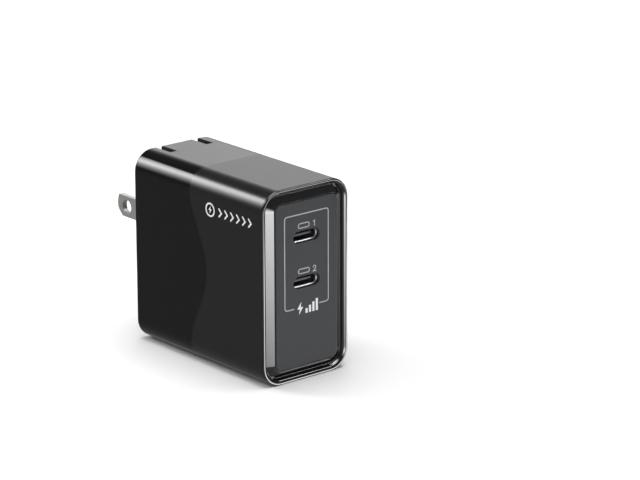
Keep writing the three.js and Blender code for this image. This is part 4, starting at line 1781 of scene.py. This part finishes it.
@dataclass(frozen=True)
class Electronics:
    """The nodes inside the case, which keep their own meshes and get their finishes."""

    nylon: tuple[str, ...] = ("prong_shaft", "prong_cradle", "transformer_bobbin", "board_header")
    boards: tuple[str, ...] = ("main_board", "port_board", "input_board")
    chips: tuple[str, ...] = (
        "fuse",
        "bridge_rectifier",
        "gan_switch",
        "primary_controller",
        "opto_isolator",
        "sync_rectifier",
        "port_controller",
    )
    ferrites: tuple[str, ...] = (
        "transformer_core_inner",
        "transformer_core_outer",
        "choke_core",
        "buck_inductor_1",
        "buck_inductor_2",
    )
    standing_cans: tuple[str, ...] = ("bulk_capacitor_1", "bulk_capacitor_2")
    lying_cans: tuple[str, ...] = ("output_capacitor_1", "output_capacitor_2")
    sleeve_colour: Colour = (0.035, 0.038, 0.045)

    def dress(self) -> None:
        """Gives every inner node its finish."""
        groups = (
            (self.nylon, NYLON),
            (self.boards, BOARD),
            (self.chips, EPOXY),
            (self.ferrites, FERRITE),
            (("detent_spring",), SPRING_STEEL),
            (("contact_spring_left", "contact_spring_right"), CONTACT_BRONZE),
            (("insulation_liner",), FILM),
            (("heat_spreader",), SPREADER_COPPER),
            (("thermal_pad",), PAD_SOFT),
            (("filter_capacitor",), BOXED),
            (("line_capacitor",), CERAMIC),
        )
        for nodes, finish in groups:
            for node in nodes:
                dress_node(node, finish)
        self._dress_cans()
        self._dress_windings()

    def _dress_cans(self) -> None:
        """Sleeves each capacitor round its own axis."""
        for axis, nodes in ((Direction.Z, self.standing_cans), (Direction.X, self.lying_cans)):
            for node in nodes:
                low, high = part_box(node)
                sleeve = Sleeved(
                    f"{node}_sleeve",
                    self.sleeve_colour,
                    0.35,
                    axis=axis,
                    centre=middle_of(node),
                    radius=(high.y - low.y) / 2 / MM,
                )
                dress_node(node, sleeve)

    def _dress_windings(self) -> None:
        """Winds tape on the transformer and enamelled wire on the choke."""
        dress_node("transformer_winding", Wound("winding_tape", (0.75, 0.55, 0.08), 0.4, pitch=0.9))
        wire = Wound(
            "choke_wire",
            (0.6, 0.2, 0.07),
            0.3,
            metallic=0.8,
            wrap=Wrap.RADIAL,
            centre=middle_of("choke_core"),
            turns=36,
        )
        for node in ("choke_winding_1", "choke_winding_2"):
            dress_node(node, wire)


# ---------------------------------------------------------------- studio


def bearing(azimuth: float, elevation: float) -> Vector:
    """The direction from the charger to a place round it.

    Args:
        azimuth: Degrees from straight in front, growing to the right.
        elevation: Degrees above the floor.

    Returns:
        The unit vector.
    """
    turn, rise = math.radians(azimuth), math.radians(elevation)
    flat = math.cos(rise)
    return Vector((math.sin(turn) * flat, -math.cos(turn) * flat, math.sin(rise)))


@dataclass(frozen=True)
class Softbox:
    """A rectangular lamp that faces the charger."""

    name: str
    azimuth: float
    elevation: float
    distance: float
    width: float
    height: float
    radiance: float
    feather: float = 0.3
    target: Point3 = (0.0, 0.0, 27.0)
    top_feather: float | None = None

    def place(self) -> None:
        """Hangs the lamp."""
        lamp = bpy.data.lights.new(self.name, "AREA")
        lamp.shape = "RECTANGLE"
        lamp.size = self.width
        lamp.size_y = self.height
        lamp.energy = self.radiance * math.pi * self.width * self.height
        holder = bpy.data.objects.new(self.name, lamp)
        towards = bearing(self.azimuth, self.elevation)
        holder.location = Vector(self.target) * MM + towards * self.distance
        holder.rotation_euler = towards.to_track_quat("Z", "Y").to_euler()
        holder.visible_camera = False
        bpy.context.scene.collection.objects.link(holder)
        self._feather(lamp)
        log.info("lamp %s", self.name)

    def _feather(self, lamp: bpy.types.Light) -> None:
        """Makes the lamp fade towards its edges, as a diffuser does."""
        graph = Graph(lamp)
        side, up, _ = graph.axes(graph.node("ShaderNodeNewGeometry", output="Parametric"))
        soft = self.feather
        top = self.top_feather or soft
        sides = (0.5 - (side - 0.5).math("ABSOLUTE")).above(soft / 2, soft)
        glow = sides * up.above(soft / 2, soft) * (1.0 - up).above(top / 2, top)
        emission = graph.node("ShaderNodeEmission", None, {"Strength": glow})
        graph.end(emission, "ShaderNodeOutputLight")


@dataclass(frozen=True)
class Studio:
    """The floor, the lamps and the camera."""

    floor_size: float = 5.0
    ambient: float = 0.14
    ambient_below: float = 0.3
    lamps: tuple[Softbox, ...] = (
        Softbox("overhead", 0.0, 88.0, 1.5, 1.8, 1.8, 5.4),
        Softbox("rear_right", 140.0, 17.0, 1.4, 1.5, 1.0, 1.5, feather=0.5),
        Softbox("rear_left", -151.0, 23.0, 1.2, 0.6, 0.7, 20.0, feather=0.6, top_feather=0.06),
        Softbox("front_left", -20.9, -17.2, 0.3, 0.13, 0.22, 7.8, 0.5, target=(-12.5, -27.0, 79.0)),
        Softbox("front_right", 40.0, -17.5, 0.3, 0.13, 0.11, 6.5, target=(0.0, -28.0, 6.0)),
        Softbox("upper_right", 91.0, 52.0, 0.5, 0.2, 0.2, 1.2),
        Softbox("port_light", 56.0, 42.0, 0.5, 0.11, 0.11, 12.0, target=(0.0, -27.0, 34.0)),
    )
    azimuth: float = -40.287
    elevation: float = 17.203
    roll: float = -0.123
    distance: float = 0.8523
    lens: float = 174.718
    sensor: float = 36.0
    nearest: float = 0.01
    aim_right: float = 0.021881
    aim_up: float = 0.005049

    def build(self) -> None:
        """Sets up the whole studio."""
        self._lay_floor()
        for lamp in self.lamps:
            lamp.place()
        self._set_world()
        self._set_camera()

    def _lay_floor(self) -> None:
        """Lays the pale floor."""
        half = self.floor_size / 2
        work = bmesh.new()
        corners = ((-half, -half), (half, -half), (half, half), (-half, half))
        work.faces.new([work.verts.new((x, y, 0.0)) for x, y in corners])
        mesh = bpy.data.meshes.new("floor")
        work.to_mesh(mesh)
        work.free()
        mesh.materials.append(dressing(FLOOR_PAPER))
        floor = bpy.data.objects.new("floor", mesh)
        floor.visible_glossy = False
        floor.visible_shadow = False
        bpy.context.scene.collection.objects.link(floor)

    def _set_world(self) -> None:
        """Fills the room with a dim neutral light."""
        world = bpy.data.worlds.new("studio_room")
        graph = Graph(world)
        _, _, up = graph.axes(graph.node("ShaderNodeTexCoord", output="Generated"))
        below = (0.0 - up).above(0.0, 0.5)
        light = self.ambient + (self.ambient_below - self.ambient) * below
        background = graph.node("ShaderNodeBackground", None, {"Strength": light})
        graph.end(background, "ShaderNodeOutputWorld")
        bpy.context.scene.world = world
        bpy.context.scene.view_settings.view_transform = "Standard"

    def _set_camera(self) -> None:
        """Sets the camera at its angle and distance, looking a little past the charger."""
        back = bearing(self.azimuth, self.elevation)
        ahead = -back
        right = ahead.cross(Vector((0.0, 0.0, 1.0))).normalized()
        up = right.cross(ahead)
        turn = math.radians(self.roll)
        side = right * math.cos(turn) + up * math.sin(turn)
        top = up * math.cos(turn) - right * math.sin(turn)
        centre = Vector((0.0, 0.0, CaseForm().height / 2 * MM))
        spot = centre + back * self.distance + side * self.aim_right + top * self.aim_up
        camera = bpy.data.cameras.new("camera")
        camera.sensor_width = self.sensor
        camera.lens = self.lens
        camera.clip_start = self.nearest
        holder = bpy.data.objects.new("camera", camera)
        axes = Matrix((side, top, back)).transposed()
        holder.matrix_world = Matrix.Translation(spot) @ axes.to_4x4()
        bpy.context.scene.collection.objects.link(holder)
        bpy.context.scene.camera = holder


# ---------------------------------------------------------------- whole charger


def main() -> None:
    """Builds the charger, its finishes and the studio."""
    logging.basicConfig(level=logging.INFO, format="%(message)s")
    Studio().build()
    parts = (
        CaseSleeve(),
        Bezel(),
        PortPanel(),
        RearPlate(),
        PanelPrint(),
        SidePrint(),
        RearPrint(),
        Receptacles(),
        PlugBlades(),
    )
    for part in parts:
        for piece in part.build():
            log.info("piece %s, built by %s", piece.name, type(part).__name__)
    Electronics().dress()


if __name__ == "__main__":
    main()
